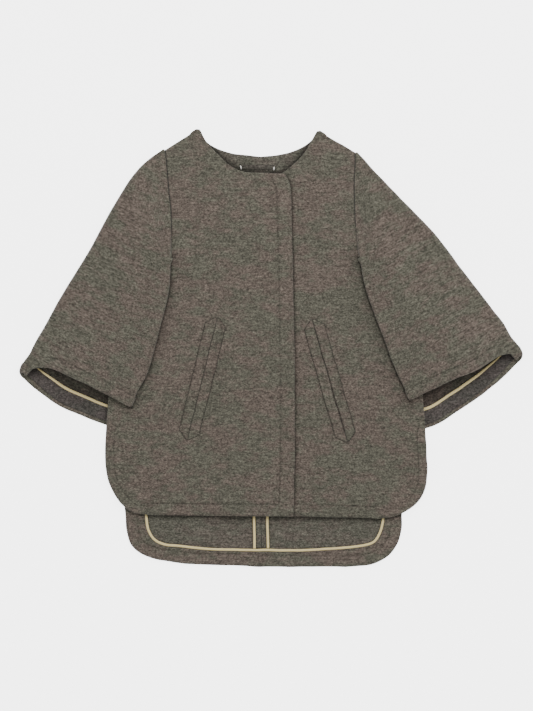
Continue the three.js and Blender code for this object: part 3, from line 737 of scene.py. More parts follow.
def rounded(distance, radius):
    """Half a round edge: the share of full thickness at a distance from the edge."""
    t = np.clip(distance / radius, 0, 1)
    return np.sqrt(np.clip(1 - (1 - t) ** 2, 0.01, 1))


def seam_dip(distance):
    """The cloth's top beside a seam: from half the cloth's thickness it rounds down into a groove."""
    return mix(-SEAM_DIP["depth"], CLOTH / 2, rounded(distance, SEAM_DIP["round"]))


def seam_shade(distance):
    """How dark the painted shade beside a seam is."""
    return SEAM_DIP["dark"] * bell(distance, SEAM_DIP["reach"])


def bulged_shoulder(plan, half):
    """The shoulder stands out by the neck facing's thickness beside the neck, and is blunt there."""
    tip, neck = half["shoulder"]
    along = unit(neck - tip)
    outward = np.array([-along[1], along[0]]) * half["inward"]
    from_neck = (neck - plan) @ along
    near = 1 - smooth(shoulder_distance(half, plan[..., 0], plan[..., 1]), 0, BULGE["reach"])
    bulge = BULGE["height"] * near * (1 - smooth(from_neck, *BULGE["end"]))
    bulge = bulge * smooth(from_neck, *BULGE["start"])
    blunt = BLUNT["length"] * (1 - smooth(np.linalg.norm(plan - neck, axis=-1), 0, BLUNT["reach"]))
    away = outward + BLUNT["along"] * along
    return plan + bulge[..., None] * outward - blunt[..., None] * away


def cloth_piece(node, upper, lower, closed, material, painted_shade, coordinates=None, turned=0):
    """A cloth solid that stands for a CAD node, with its painted shade: 1 in grooves, 0 elsewhere."""
    vertices, quads = cloth_solid(upper, lower, closed)
    if coordinates is None:
        coordinates = cut_coordinates(vertices, turned, CUT_PLACES.get(node, (0, 0)))
    piece = new_object(f"{node}_cloth", vertices, quads, material, coordinates)
    faces = painted_shade if isinstance(painted_shade, tuple) else (painted_shade, painted_shade)
    shade = piece.data.attributes.new("painted_shade", "FLOAT", "POINT")
    shade.data.foreach_set("value", np.concatenate([f.ravel() for f in faces]).astype(np.float32))
    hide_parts(node)
    made[node] = piece


# Where each piece lies on its length of cloth, in metres, so that no two show the same patches.
CUT_PLACES = {
    "front_right": (0.4, 0.2), "front_left": (1.13, 0.28), "back_right": (2.3, 0.7),
    "back_left": (3.4, 0.74), "sleeve_right": (4.5, 1.3), "sleeve_left": (5.7, 1.36),
    "pocket_welt_right_inner": (6.41, 0.3), "pocket_welt_right_outer": (6.83, 0.3),
    "pocket_welt_left_inner": (7.27, 0.3), "pocket_welt_left_outer": (7.71, 0.3),
    "back_hem_facing": (8.2, 0.5), "back_neck_facing": (9.1, 0.5),
}


def edge_shade(plan, lines):
    """How dark the painted shade at a place is: for each (line, dark, reach), a bell over the distance
    to the line.
    """
    return np.max([dark * bell(distance_to(plan, line), reach) for line, dark, reach in lines], axis=0)


def body_panel(node, plan, middle, free_lines, seam_line, stitch_lines, shade_lines, material):
    """A panel with round free edges, a V groove at its armhole, and stitched edges that stand up.
    Each stitch line is (edge line, depth, how dark the painted shade in its groove is). The height
    over the middle is the least of both rounds."""
    x, y = plan[..., 0], plan[..., 1]
    free = np.min([distance_to(plan, line) for line in free_lines], axis=0)
    seam = distance_to(plan, seam_line)
    edge_round = CLOTH / 2 * rounded(free, EDGE_ROUND)
    top = np.minimum(edge_round, seam_dip(seam))
    # Painted shade beside the armhole seam, beside the shade lines, and in the stitch grooves below.
    painted_shade = np.maximum(seam_shade(seam), edge_shade(plan, shade_lines))
    if stitch_lines:
        depths = np.array([distance_to(plan, line) / deep for line, deep, _ in stitch_lines])
        dark = np.array([darkness for _, _, darkness in stitch_lines])[depths.argmin(0)]
        depth = depths.min(0)
        top = top + faced(depth * HEM_DEPTH, HEM_DEPTH) * smooth(free, 0, EDGE_START)
        painted_shade = np.maximum(painted_shade, dark * bell((depth - 1) * HEM_DEPTH, GROOVE_REACH))
    height = middle(x, y)
    upper = np.dstack([x, y, height + top])
    lower = np.dstack([x, y, height - edge_round])
    cloth_piece(node, upper, lower, False, material, painted_shade)
    return np.dstack([x, y, height])


def declare(grid, closed=False):
    """Works out the length of each row of a piece's grid, with its closing edge where the grid is
    closed.
    """
    rows = np.linalg.norm(np.diff(grid, axis=1), axis=2).sum(1)
    if closed:
        rows = rows + np.linalg.norm(grid[:, 0] - grid[:, -1], axis=1)


front_plans, front_grids, back_plans, back_grids, vent_sides = {}, {}, {}, {}, {}


def front_height(side_name):
    """The height of a front's middle: only the right front lies over the left one's underlap."""
    covers = side_name == "right"
    half = HALVES[side_name]

    def height(x, y):
        near_shoulder = 1 - smooth(shoulder_distance(half, x, y), 0, SHOULDER_DIP["reach"])
        return front_middle(x, y, covers) - SHOULDER_DIP["depth"] * near_shoulder

    return height


RIGHT_EDGE = smooth_line(RIGHT["front_edge"])
# Painted shade that the fronts' neckline and hem rims cast on what lies under them.
FRONT_RIM_SHADES = []

# The back hem facing's upper edge, and the centre-back allowances as distances from the seam.
facing_edge = at(smooth_line(points(
    x=[-158.5, -156, -153, -146, -134, -104, -60, -12.5, 36, 88, 116, 128, 135, 139, 140.5],
    y=[-196, -212, -228, -239, -245, -248.6, -251.7, -252.7, -252.7, -249.6, -246.5, -242.3,
       -232, -218, -196],
)), np.linspace(0, 1, 260))
ALLOWANCE = {
    "right": -0.4, "left": 0.45, "edge": 6.9, "bound": 10.0, "top": -185, "foot": -250.2,
}


def beside_seam(sign, offset):
    """A plan line beside the centre-back seam, as long as the allowances."""
    y = np.linspace(ALLOWANCE["top"], ALLOWANCE["foot"], 60)
    return np.stack([0 * y + CENTRE_BACK + sign * offset, y], -1)


# Painted shade beside the hem facing's edge and the centre-back allowances' bindings.
BINDING_SHADES = [(facing_edge, *FACING_SHADE)] + [
    (beside_seam(sign, ALLOWANCE[key]), *ALLOWANCE_SHADE)
    for sign in (-1, 1) for key in ("edge", "bound")
]

for side_name, half in HALVES.items():
    inner_fine = [0, PLACKET_DEPTH] if side_name == "right" else [0]
    plan, neck_rows, arm_rows = panel_plan(
        half, "front", "neckline", "front_edge", [0, SIDE_DEPTH], inner_fine, [0, HEM_DEPTH]
    )
    plan = bulged_shoulder(plan, half)
    low = plan[:, 0][plan[:, 0][:, 1] < PUFF["vent_top"]]
    stitched = [
        (plan[-1], HEM_DEPTH, STITCH_SHADES["hem"]), (low, SIDE_DEPTH, STITCH_SHADES["side"])
    ]
    if side_name == "right":
        stitched.append((plan[neck_rows:, -1], PLACKET_DEPTH, STITCH_SHADES["placket"]))
    front_plans[side_name], vent_sides[side_name] = plan, low
    fold = smooth_line(half["front_fold"])
    # Painted shade on the front beside the sleeve's fold and in the pocket slit, and on the left front
    # under the right front's edge.
    under = [
        (fold, *FOLD_SHADE), (fold, *WIDE_FOLD_SHADE[side_name]),
        (half["pocket"], *SLIT_SHADE[side_name]),
    ]
    if side_name == "left":
        under.append((RIGHT_EDGE, *FLY_SHADE))
    front_grids[side_name] = body_panel(
        f"front_{side_name}", plan, front_height(side_name),
        [plan[0], plan[:, -1], plan[-1], plan[arm_rows:, 0]], plan[:arm_rows, 0], stitched,
        under, "wool",
    )
    FRONT_RIM_SHADES.append((plan[:neck_rows, -1], *NECK_RIM_SHADE))
    FRONT_RIM_SHADES.append((np.concatenate([low, plan[-1, 1:]]), *HEM_RIM_SHADE))

for side_name, half in HALVES.items():
    plan, neck_rows, arm_rows = panel_plan(
        half, "back", "back_neck", "back_centre", [0], [0], [0]
    )
    plan = bulged_shoulder(plan, half)
    back_plans[side_name] = plan
    back_grids[side_name] = body_panel(
        f"back_{side_name}", plan, back_middle,
        [plan[0], plan[:neck_rows, -1], plan[-1], plan[arm_rows:, 0]], plan[:arm_rows, 0], [],
        FRONT_RIM_SHADES + BINDING_SHADES, "wool_inside",
    )


# Sleeves

# Shares of the sleeve's length (s) or of a layer's width (t) in which a change starts and ends.
UP = math.pi / 2
FIT_REACH = 0.2
CORNER_REACH = 0.05
CAP_REACH = 0.2
ARMHOLE_RISE = 0.035
FLARE = ((2.4, 0.92, 0.965), (-1.7, 0.975, 1))
SLANT_START = 0.86
TURN_SLANT = 0.4
FRONT_SLANT = {"share": 0.74, "rise": (0, 0.018), "fall": (0.01, 0.088)}
INNER_RISE = (0.6, 0.92)
SEAM_END = (0.93, 1)
ROLL_END = (0, 0.6)
SLEEVE_WAVE = {"height": 1.3, "size": 58, "seed": 11}
FRONT_CROWDING = 1.25


def fitted(line, start, end):
    """A line whose ends are moved to two new points, fading out over a fifth of it at each end."""
    first, last = start - line[0], end - line[-1]
    return lambda t: (
        at(line, t)
        + first * (1 - smooth(t, 0, FIT_REACH))[:, None]
        + last * smooth(t, 1 - FIT_REACH, 1)[:, None]
    )


def coons(fold_a, fold_b, rim_a, rim_b):
    """The plan between two folds (functions of s) and two rims (functions of t): each pair joined
    straight, added, less the straight surface between the four corners."""
    ends = np.array([0.0, 1.0])
    a, b = fold_a(ends), fold_b(ends)

    def place(s, t):
        s2, t2 = s[:, None, None], t[None, :, None]
        folds = mix(fold_a(s)[:, None], fold_b(s)[:, None], t2)
        rims = mix(rim_a(t)[None], rim_b(t)[None], s2)
        return folds + rims - mix(mix(a[0], b[0], t2), mix(a[1], b[1], t2), s2)

    return place


class Sleeve:
    """A sleeve's middle surface: four layers and four turns round it, from armhole 0 to cuff 1."""

    def __init__(self, half):
        self.half = half
        inward = half["inward"]
        seams = {
            layer: armhole_line(half, layer) - [inward * 2 * SEAM_GAP, 0] for layer in ("front", "back")
        }
        lines = {key: smooth_line(half[key]) for key in (
            "overarm", "front_fold", "back_fold", "valley", "underarm", "front_cuff", "back_cuff",
        )}
        self.lines = lines
        zero, one = np.array([0.0]), np.array([1.0])

        def flare(s):
            wide = sum(width * smooth(s, start, end) for width, start, end in FLARE)
            return square_to(lines["overarm"], s, -inward) * wide[:, None]

        def inset(key, sign, roll, corner):
            def rolled(s):
                further = (CLOTH / 2 + roll(s))[:, None]
                return at(lines[key], s) + square_to(lines[key], s, sign) * further

            to_seam = corner - rolled(zero)[0]
            return lambda s: rolled(s) + to_seam * (1 - smooth(s, 0, CORNER_REACH))[:, None]

        unflared = inset("overarm", inward, self.outer_radius, seams["front"][0])

        def outer(s):
            return unflared(s) + flare(s)

        def outer_back(s):
            return outer(s) + self.slanted(s, 1)

        def tight(s):
            return 0 * s + PITCH / 2

        front = inset("front_fold", -inward, tight, seams["front"][-1])
        back = inset("back_fold", -inward, tight, seams["back"][-1])

        def valley(s):
            return at(lines["valley"], s) - [inward, 0]

        self.folds = {"outer": outer, "front": front, "back": back, "valley": valley}

        def layer(a, b, top, cuff=None):
            ends = [a(zero)[0], b(zero)[0], a(one)[0], b(one)[0]]
            cuff_line = np.array(ends[2:]) if cuff is None else lines[cuff]
            return coons(a, b, fitted(top, *ends[:2]), fitted(cuff_line, *ends[2:]))

        self.layers = {
            "front": layer(outer, front, seams["front"], "front_cuff"),
            "back": layer(outer_back, back, seams["back"], "back_cuff"),
            "upper": layer(front, valley, lines["underarm"]),
            "lower": layer(back, valley, lines["underarm"]),
        }

    def cap(self, s):
        """0 at the armhole, 1 where the sleeve's own heights start."""
        return smooth(s, 0, CAP_REACH)

    def slanted(self, s, share):
        """The cuff's outer end is cut on a slant: a share of it, near the sleeve's end."""
        reach = smooth(s, SLANT_START, 1)
        if np.ndim(share):
            reach = reach[:, None] * share
        return reach[..., None] * self.half["cuff_slant"]

    def outer_radius(self, s):
        """Radius of the outer fold's turn, which grows from the armhole on."""
        return (mix(level(1), level(0) + 2 * OUTER_ROLL, self.cap(s)) - level(0)) / 2

    def layer(self, name, s, t):
        """One layer of the sleeve at rows s and columns t."""
        plan = self.layers[name](s, t)
        height = {"back": level(0), "lower": level(1), "upper": level(4)}.get(name)
        if height is not None:
            return np.dstack([plan, np.full(plan.shape[:2], height)])
        slant = mix(TURN_SLANT, FRONT_SLANT["share"], smooth(t, *FRONT_SLANT["rise"]))
        plan = plan + self.slanted(s, slant * (1 - smooth(t, *FRONT_SLANT["fall"])))
        s2, t2, y = s[:, None], t[None], plan[..., 1]
        to_seam = (1 - smooth(t2, *SEAM_END)) * (1 - smooth(s2, 0, ARMHOLE_RISE))
        rise = level(1) + 2 * PITCH * (1 - smooth(y, LIFT["arm_full"], LIFT["arm_top"]))
        rise = rise + 2 * PITCH * smooth(t2, *INNER_RISE) * (1 - to_seam)
        wave = np.sin(math.pi * t2)
        crown = (SLEEVE_CROWN + CUFF_CROWN * s2**2) * wave**2
        noise = soft_noise(plan[..., 0], y, SLEEVE_WAVE["size"], SLEEVE_WAVE["seed"])
        crown = crown + SLEEVE_WAVE["height"] * noise * wave
        rolled = mix(level(0) + 2 * OUTER_ROLL, level(5), smooth(t2, *ROLL_END))
        return np.dstack([plan, mix(rise, rolled + crown, self.cap(s2))])

    def turn(self, name, s, angles):
        """One turn between layers: a part of a circle that stands out square to its fold."""
        inward = self.half["inward"]
        key, sign, centre, radius = {
            "front": ("front_fold", inward, level(4.5), PITCH / 2),
            "back": ("back_fold", inward, level(0.5), PITCH / 2),
            "valley": ("valley", -inward, level(2.5), 1.5 * PITCH),
            "outer": ("overarm", -inward, level(0), 0),
        }[name]
        if name == "outer":
            radius = self.outer_radius(s)
            centre = centre + radius
        radius = np.broadcast_to(radius, s.shape)[:, None]
        centre = np.broadcast_to(centre, s.shape)[:, None]
        out = square_to(self.lines[key], s, sign)[:, None] * (radius * np.cos(angles))[..., None]
        if name == "outer":
            out = out + self.slanted(s, mix(TURN_SLANT, 1, (1 - np.sin(angles)) / 2))
        return np.dstack([self.folds[name](s)[:, None] + out, centre + radius * np.sin(angles)])


TURN = np.linspace(UP, -UP, 11)[1:-1]
RING = {"front": 65, "leaf": 20, "back": 28}


def sleeve_grid(sleeve, s):
    """The rings of a sleeve, starting and ending under the middle of its back layer."""
    leaf = np.linspace(0, 1, RING["leaf"])
    return np.concatenate([
        sleeve.layer("back", s, np.linspace(0.5, 0, RING["back"])),
        sleeve.turn("outer", s, -TURN),
        sleeve.layer("front", s, np.linspace(0, 1, RING["front"]) ** FRONT_CROWDING),
        sleeve.turn("front", s, TURN),
        sleeve.layer("upper", s, leaf),
        sleeve.turn("valley", s, TURN),
        sleeve.layer("lower", s, leaf[::-1]),
        sleeve.turn("back", s, TURN),
        sleeve.layer("back", s, np.linspace(1, 0.5, RING["back"])[:-1]),
    ], axis=1)


def hem_distance(grid):
    """Distance along each column of a grid from its last row, in millimetres."""
    steps = np.linalg.norm(np.diff(grid, axis=0), axis=2)
    run = np.concatenate([np.zeros((1, grid.shape[1])), np.cumsum(steps, axis=0)])
    return run[-1] - run


def above_hem(grid, to_hem, distances):
    """The points of each column that lie at its own distances (rows, columns) from the hem."""
    distances = np.broadcast_to(distances, (len(distances), grid.shape[1]))
    return np.array([
        [np.interp(distances[:, j], to_hem[::-1, j], grid[::-1, j, axis]) for axis in range(3)]
        for j in range(grid.shape[1])
    ]).transpose(2, 0, 1)


# Distances from a sleeve's hem, and what changes in them and in the strips at the outer fold.
SLEEVE_LENGTH = 270.0
CUFF_STITCH = 14.0
CUFF_ROUND = 1.3
CUFF_FACING = (4.6, 22.6)
CUFF_RIM_AT_FOLD = 3.0
CUFF_BINDING = (21.5, 25.1)
BINDING_AT_FOLD = 0.5
STRIP_SHARES = {"back": 0.9, "front": 0.68}
WEAVE_STEP = 0.1
FOLD_SHARE = 0.43

# How dark the painted shade is inside a sleeve and in the cuff's stitch line, and where the two
# painted shades inside start.
INSIDE_SHADE = 0.45
CUFF_STITCH_SHADE = 0.35
INSIDE_START = (3.5, 8)
MOUTH_START = (2, 6)
sleeve_grids, cuff_stitches = {}, {}


def near_outer_fold(columns):
    """1 at the sleeve's outer fold, falling to 0 near the middle of the back layer on one side of it
    and within a third of the front layer on the other."""
    middle = RING["back"] + len(TURN) / 2
    away = columns - middle
    reach = np.where(away < 0, RING["back"], FOLD_SHARE * RING["front"])
    return 1 - smooth(np.abs(away) / reach, 0.1, 1)


def cuff_strip(node, grid, to_hem, normal, band, thickness, under, material, crowned, shade):
    """A strip inside the cuff, from near the front fold on the back layer round the outer fold to
    past the middle of the front layer, with its thickness inwards from the sleeve's cloth."""
    first = grid.shape[1] - int(STRIP_SHARES["back"] * RING["back"])
    last = RING["back"] + len(TURN) + int(STRIP_SHARES["front"] * RING["front"])
    columns = np.r_[first:grid.shape[1], 0:last]
    fold = near_outer_fold(np.r_[first - grid.shape[1]:0, 0:last])
    if crowned:
        waist = (band[1] - band[0]) / 2 * BINDING_AT_FOLD * fold
        low_edge, high_edge = band[0] + waist, band[1] - waist
    else:
        low_edge, high_edge = band[0] + CUFF_RIM_AT_FOLD * fold, band[1] + 0 * fold
    distances = mix(low_edge, high_edge, crowded(11)[:, None])
    place = above_hem(grid[:, columns], to_hem[:, columns], distances).transpose(1, 0, 2)
    across = above_hem(normal[:, columns], to_hem[:, columns], distances).transpose(1, 0, 2)
    laid_strip(
        node, place, -across, CLOTH / 2 + under, thickness, material, crowned, shade=shade
    )


def strip_measures(grid):
    """Distances along a strip's middle and across each row, and to its nearest edge."""
    along = length_along(grid[:, grid.shape[1] // 2])[:, None]
    steps = np.linalg.norm(np.diff(grid, axis=1), axis=2)
    across = np.concatenate([np.zeros((len(grid), 1)), np.cumsum(steps, axis=1)], axis=1)
    along = np.broadcast_to(along, across.shape)
    sides = np.minimum(across, across[:, -1:] - across)
    return along, across, np.minimum(sides, np.minimum(along, along.max() - along))


def laid_strip(
    node, base, outward, under, thickness, material, crowned=False, relief=None, shade=(),
    painted_shade=None,
):
    """A strip of cloth on a base grid (along, across): its top is rounded at all edges, or crowned
    right across as an ellipse, and its underside follows the base at the distance under."""
    along, across, edge = strip_measures(base)
    if crowned:
        middle = across / across[:, -1:]
        profile = np.sqrt(np.clip(1 - (2 * middle - 1) ** 2, 0.02, 1))
        profile = profile * rounded(np.minimum(along, along.max() - along), 1.0)
    else:
        profile = rounded(edge, thickness)
    top = thickness * profile + (0 if relief is None else relief)
    upper = base + outward * (under + top)[..., None]
    lower = base + outward * under
    # Painted shade at the strip's edges, unless it is crowned, and beside the shade lines given.
    if painted_shade is None:
        painted_shade = 0 * edge if crowned else STRIP_SHADE[0] * bell(edge, STRIP_SHADE[1])
    if shade:
        painted_shade = np.maximum(painted_shade, edge_shade(base[..., :2], shade))
    woven = None
    if material == "binding":
        place = np.dstack([along, across]) * MM + (WEAVE_STEP * len(made), 0.0)
        woven = np.tile(place.reshape(-1, 2), (2, 1))
    cloth_piece(node, upper, lower, False, material, painted_shade, woven)


for side_name, half in HALVES.items():
    share = spaced(SLEEVE_LENGTH, 2.6, [0, SLEEVE_LENGTH - CUFF_STITCH, SLEEVE_LENGTH]) / SLEEVE_LENGTH
    grid = sleeve_grid(Sleeve(half), share)
    normal = grid_normals(grid, True) * half["inward"]
    to_hem = hem_distance(grid)
    to_seam = to_hem[0] - to_hem
    hem_round = CLOTH / 2 * rounded(to_hem, CUFF_ROUND)
    top = np.minimum(hem_round, seam_dip(to_seam))
    top = top + faced(to_hem, CUFF_STITCH) * smooth(to_hem, 0, EDGE_START)
    # Painted shade in the seam groove and cuff stitch line, over the sleeve's inside and in its mouth.
    painted_shade = seam_shade(to_seam) + CUFF_STITCH_SHADE * bell(to_hem - CUFF_STITCH, 1.0)
    front_hem = grid[-1, RING["back"] + len(TURN):][: RING["front"], :2]
    mouth = [(front_hem, *MOUTH_SHADE)]
    from_rim = to_hem - CUFF_RIM_AT_FOLD * near_outer_fold(np.arange(grid.shape[1]))
    inner_painted_shade = np.maximum(
        INSIDE_SHADE * smooth(from_rim, *INSIDE_START),
        edge_shade(grid[..., :2], mouth) * smooth(from_rim, *MOUTH_START),
    )
    node = f"sleeve_{side_name}"
    upper = grid + normal * top[..., None]
    upper[..., 2] = np.maximum(upper[..., 2], 0)
    cloth_piece(
        node, upper, grid - normal * hem_round[..., None], True, "wool",
        (painted_shade, inner_painted_shade), turned=half["grain"],
    )
    cuff_stitches[side_name] = above_hem(upper, to_hem, [CUFF_STITCH])[0]
    sleeve_grids[side_name] = grid
    cuff_strip(
        f"cuff_facing_{side_name}", grid, to_hem, normal, CUFF_FACING, FACING, 0.1,
        "wool_facing", False, mouth,
    )
    cuff_strip(
        f"cuff_binding_{side_name}", grid, to_hem, normal, CUFF_BINDING, THIN_BINDING, FACING + 0.15,
        "binding", True, mouth,
    )


# Pocket welts

POCKET = {
    "width": 27.0, "blunt": 2.5, "point": 9.5, "welt": 0.9, "opens": (9, 16), "widens": (0.3, 0.75),
}
# Painted shade where a welt is sewn down and beside its slit: how dark, and its reach in mm.
SEW_DOWN_SHADE = (0.95, 1.4)
WELT_SLIT_SHADE = (0.75, 0.5)
upright = np.array([0, 0, 1.0])


def pocket_plan(half, sign):
    """Half of a pocket: from the slit to the outer edge, which comes in to a point at both ends."""
    top, bottom = half["pocket"]
    down = unit(bottom - top)
    outward = np.array([-down[1], down[0]]) * sign * half["inward"]
    length = np.linalg.norm(bottom - top)
    distance = spaced(length, 2.0, [0, POCKET["point"], length - POCKET["point"], length])
    from_end = np.minimum(distance, length - distance)
    reach = mix(POCKET["blunt"], POCKET["width"] / 2, np.clip(from_end / POCKET["point"], 0, 1))
    opened = mix(*half["slit"], smooth(distance / length, *POCKET["widens"]))
    slit = opened / 2 * smooth(from_end, *POCKET["opens"]) + 0.02
    offset = mix(slit[:, None], reach[:, None], crowded(15))
    return top + down * distance[:, None, None] + outward * offset[..., None]


for side_name, half in HALVES.items():
    for part, sign in (("inner", half["inward"]), ("outer", -half["inward"])):
        plan = pocket_plan(half, sign)
        height = front_height(side_name)(plan[..., 0], plan[..., 1]) + CLOTH / 2
        base = np.dstack([plan, height])
        along, across, _ = strip_measures(base)
        outside = np.minimum(across[:, -1:] - across, np.minimum(along, along.max() - along))
        # Painted shade where the welt is sewn down and beside the slit.
        painted_shade = np.maximum(
            SEW_DOWN_SHADE[0] * bell(outside, SEW_DOWN_SHADE[1]),
            WELT_SLIT_SHADE[0] * bell(across, WELT_SLIT_SHADE[1]),
        )
        laid_strip(
            f"pocket_welt_{side_name}_{part}", base, upright, 0.03, POCKET["welt"], "wool",
            painted_shade=painted_shade,
        )


# Facings, bindings, allowances and the label on the inside of the back

def on_back(outer, inner, columns=13):
    """The inside face of the back between two plan lines with matching points."""
    plan = mix(outer[:, None], inner[:, None], crowded(columns)[None, :, None])
    return np.dstack([plan, back_middle(plan[..., 0], plan[..., 1]) + CLOTH / 2])


def matched(line, other):
    """For each point of a line, the nearest point of another, kept in order and evened out."""
    share = np.linspace(0, 1, 2000)
    dense = at(other, share)
    nearest = share[np.argmin(((line[:, None] - dense[None]) ** 2).sum(2), axis=1)]
    nearest = np.maximum.accumulate(nearest)
    padded = np.pad(nearest, 6, mode="edge")
    evened = np.convolve(padded, np.ones(13) / 13, mode="valid")
    evened[0], evened[-1] = nearest[0], nearest[-1]
    return at(other, evened)


def beside(line, distance):
    """A plan line moved square to itself, to its left for a positive distance."""
    ahead = np.gradient(line, axis=0)
    normal = np.stack([-ahead[:, 1], ahead[:, 0]], -1)
    return line + distance * normal / np.linalg.norm(normal, axis=1)[:, None]


FACING_TOP = -196
right_back, left_back = back_plans["right"], back_plans["left"]
tail_edge = np.concatenate([
    right_back[:, 0][right_back[:, 0][:, 1] < FACING_TOP], right_back[-1, 1:],
    left_back[-1, ::-1], left_back[:, 0][left_back[:, 0][:, 1] < FACING_TOP][-2::-1],
])
TAIL_STITCH = 14.5
TAIL_STITCH_SHADE = (0.5, 0.8)
TAIL_RELIEF = 0.8
BACK_BINDING = 3.1
ALLOWANCE_COVER = 0.8
tail_base = on_back(matched(facing_edge, tail_edge), facing_edge, 25)
to_edge = distance_to(tail_base[..., :2], tail_edge)
tail_relief = TAIL_RELIEF * faced(to_edge, TAIL_STITCH) * smooth(to_edge, 0, EDGE_START)
# Painted shade in the tail's stitch line and at the facing's edges.
tail_painted_shade = np.maximum(
    TAIL_STITCH_SHADE[0] * bell(to_edge - TAIL_STITCH, TAIL_STITCH_SHADE[1]),
    STRIP_SHADE[0] * bell(to_edge, STRIP_SHADE[1]),
)
laid_strip(
    "back_hem_facing", tail_base, upright, UNDER_STRIP, FACING, "wool", relief=tail_relief,
    shade=FRONT_RIM_SHADES + BINDING_SHADES[:1], painted_shade=tail_painted_shade,
)
laid_strip(
    "back_hem_binding", on_back(beside(facing_edge, -1.0), beside(facing_edge, BACK_BINDING - 1.0)),
    upright, FACING + UNDER_STRIP, HEM_BINDING, "binding", True, shade=FRONT_RIM_SHADES,
)

for side_name, sign in (("right", -1), ("left", 1)):
    seam_edge = beside_seam(sign, ALLOWANCE[side_name])
    covered_edge = beside_seam(sign, ALLOWANCE["edge"] + ALLOWANCE_COVER)
    laid_strip(
        f"back_seam_allowance_{side_name}", on_back(seam_edge, covered_edge), upright, UNDER_STRIP,
        ALLOWANCE_CLOTH, "wool_inside", shade=FRONT_RIM_SHADES + BINDING_SHADES,
    )
    bound = [beside_seam(sign, ALLOWANCE[key]) for key in ("edge", "bound")]
    laid_strip(
        f"back_seam_binding_{side_name}", on_back(*bound), upright, ALLOWANCE_CLOTH + UNDER_STRIP,
        THIN_BINDING, "binding", True, shade=FRONT_RIM_SHADES,
    )

NECK_FACING = {
    "top": points(
        x=[-73, -63.5, -46.5, -12.5, 8.5, 27.5, 40.5],
        y=[251, 246.5, 241.6, 237.9, 240, 244.8, 249.8],
    ),
    "foot": points(
        x=[-73, -61, -44, -12.5, 8.5, 26, 40.5], y=[246.5, 232.5, 219.5, 213, 215, 222, 245]
    ),
}
neck_edges = [at(smooth_line(NECK_FACING[key]), np.linspace(0, 1, 90)) for key in ("top", "foot")]
laid_strip(
    "back_neck_facing", on_back(*neck_edges), upright, UNDER_STRIP, FACING, "wool_inside",
    shade=FRONT_RIM_SHADES,
)
LABEL = {"left": -38.5, "right": 4.0, "top": 228.3, "foot": 222.5, "thickness": 0.5}
label_across = np.linspace(LABEL["left"], LABEL["right"], 40)
label_edges = [
    np.stack([label_across, 0 * label_across + LABEL[key]], -1) for key in ("top", "foot")
]
laid_strip(
    "neck_label", on_back(*label_edges), upright, FACING + 0.1, LABEL["thickness"], "label_cloth",
    shade=FRONT_RIM_SHADES,
)


# Stitches

STITCH = {"pitch": 4.2, "length": 3.1, "radius": 0.32}
BAR_TACK = {"pitch": 1.9, "length": 1.8, "radius": 0.35}
LABEL_TACK = {"pitch": 5.9, "length": 5.4, "radius": 1.0}
LABEL_TACKS = {
    "label_tack_right": points(x=[-38.4, -36.9], y=[227.8, 221.8]),
    "label_tack_left": points(x=[3.8, 2.9], y=[226.6, 220.6]),
}
LABEL_TACK_HEIGHT = 0.75
BAR_TACK_AT = 13
BAR_TACK_REACH = 0.43
SIDE_EASE = 30

# Where the left hem's stitches go under the right front, and where the tail's stitches start.
COVERED_X = 31
TAIL_STITCH_TOP = -200


def bead_run(name, line, pitch, length, radius, material, slot, outward=upright, sunk=0.1):
    """Stitches along a line on a surface: each is a rod of six sides whose radius follows half an
    ellipse from end to end, and it dips into the cloth at both ends."""
    run = length_along(line)
    middle = np.arange(pitch / 2, run[-1] - pitch / 2, pitch)
    along = np.linspace(-1, 1, 7)
    place = middle[:, None] + along * length / 2
    core = np.stack([np.interp(place, run, column) for column in line.T], -1)
    ahead = unit(core[:, -1] - core[:, 0])
    side = unit(np.cross(ahead, outward))
    up = np.cross(side, ahead)
    dip = radius * (0.9 - 1.5 * along**2) - sunk
    core = core + up[:, None] * dip[None, :, None]
    angle = np.linspace(0, 2 * math.pi, 6, endpoint=False)
    girth = radius * np.sqrt(np.clip(1 - along**2, 0.03, 1))
    ring = (
        side[:, None, None] * np.cos(angle)[:, None] + up[:, None, None] * np.sin(angle)[:, None]
    ) * girth[None, :, None, None]
    vertices = core[:, :, None] + ring
    count, rings, corners = vertices.shape[:3]
    quads = grid_quads(rings, corners, True)
    start = np.arange(count)[:, None, None] * rings * corners
    faces = (quads[None] + start).reshape(-1, 4)
    cap = np.array([[0, 1, 2, 3], [3, 4, 5, 0]])
    last = cap[:, ::-1] + (rings - 1) * corners
    ends = (np.concatenate([cap, last])[None] + start).reshape(-1, 4)
    faces = np.concatenate([faces, ends])
    vertices = vertices.reshape(-1, 3)
    one = faces[: len(quads)]
    if signed_volume(vertices, one) < 0:
        faces = faces[:, ::-1]
    piece = new_object(name, vertices, faces, material, vertices[:, :2] * MM)


def on_front(side_name, plan_line, sunk=0.5):
    """A plan line on the top of a front, down in the groove that its stitches pull."""
    height = front_height(side_name)(plan_line[:, 0], plan_line[:, 1]) + CLOTH / 2 - sunk
    return np.column_stack([plan_line, height])


def even(line, step=1.0):
    """A polyline's own course, with points a step apart."""
    run = length_along(line)
    return at(line, np.linspace(0, 1, int(run[-1] / step) + 2))


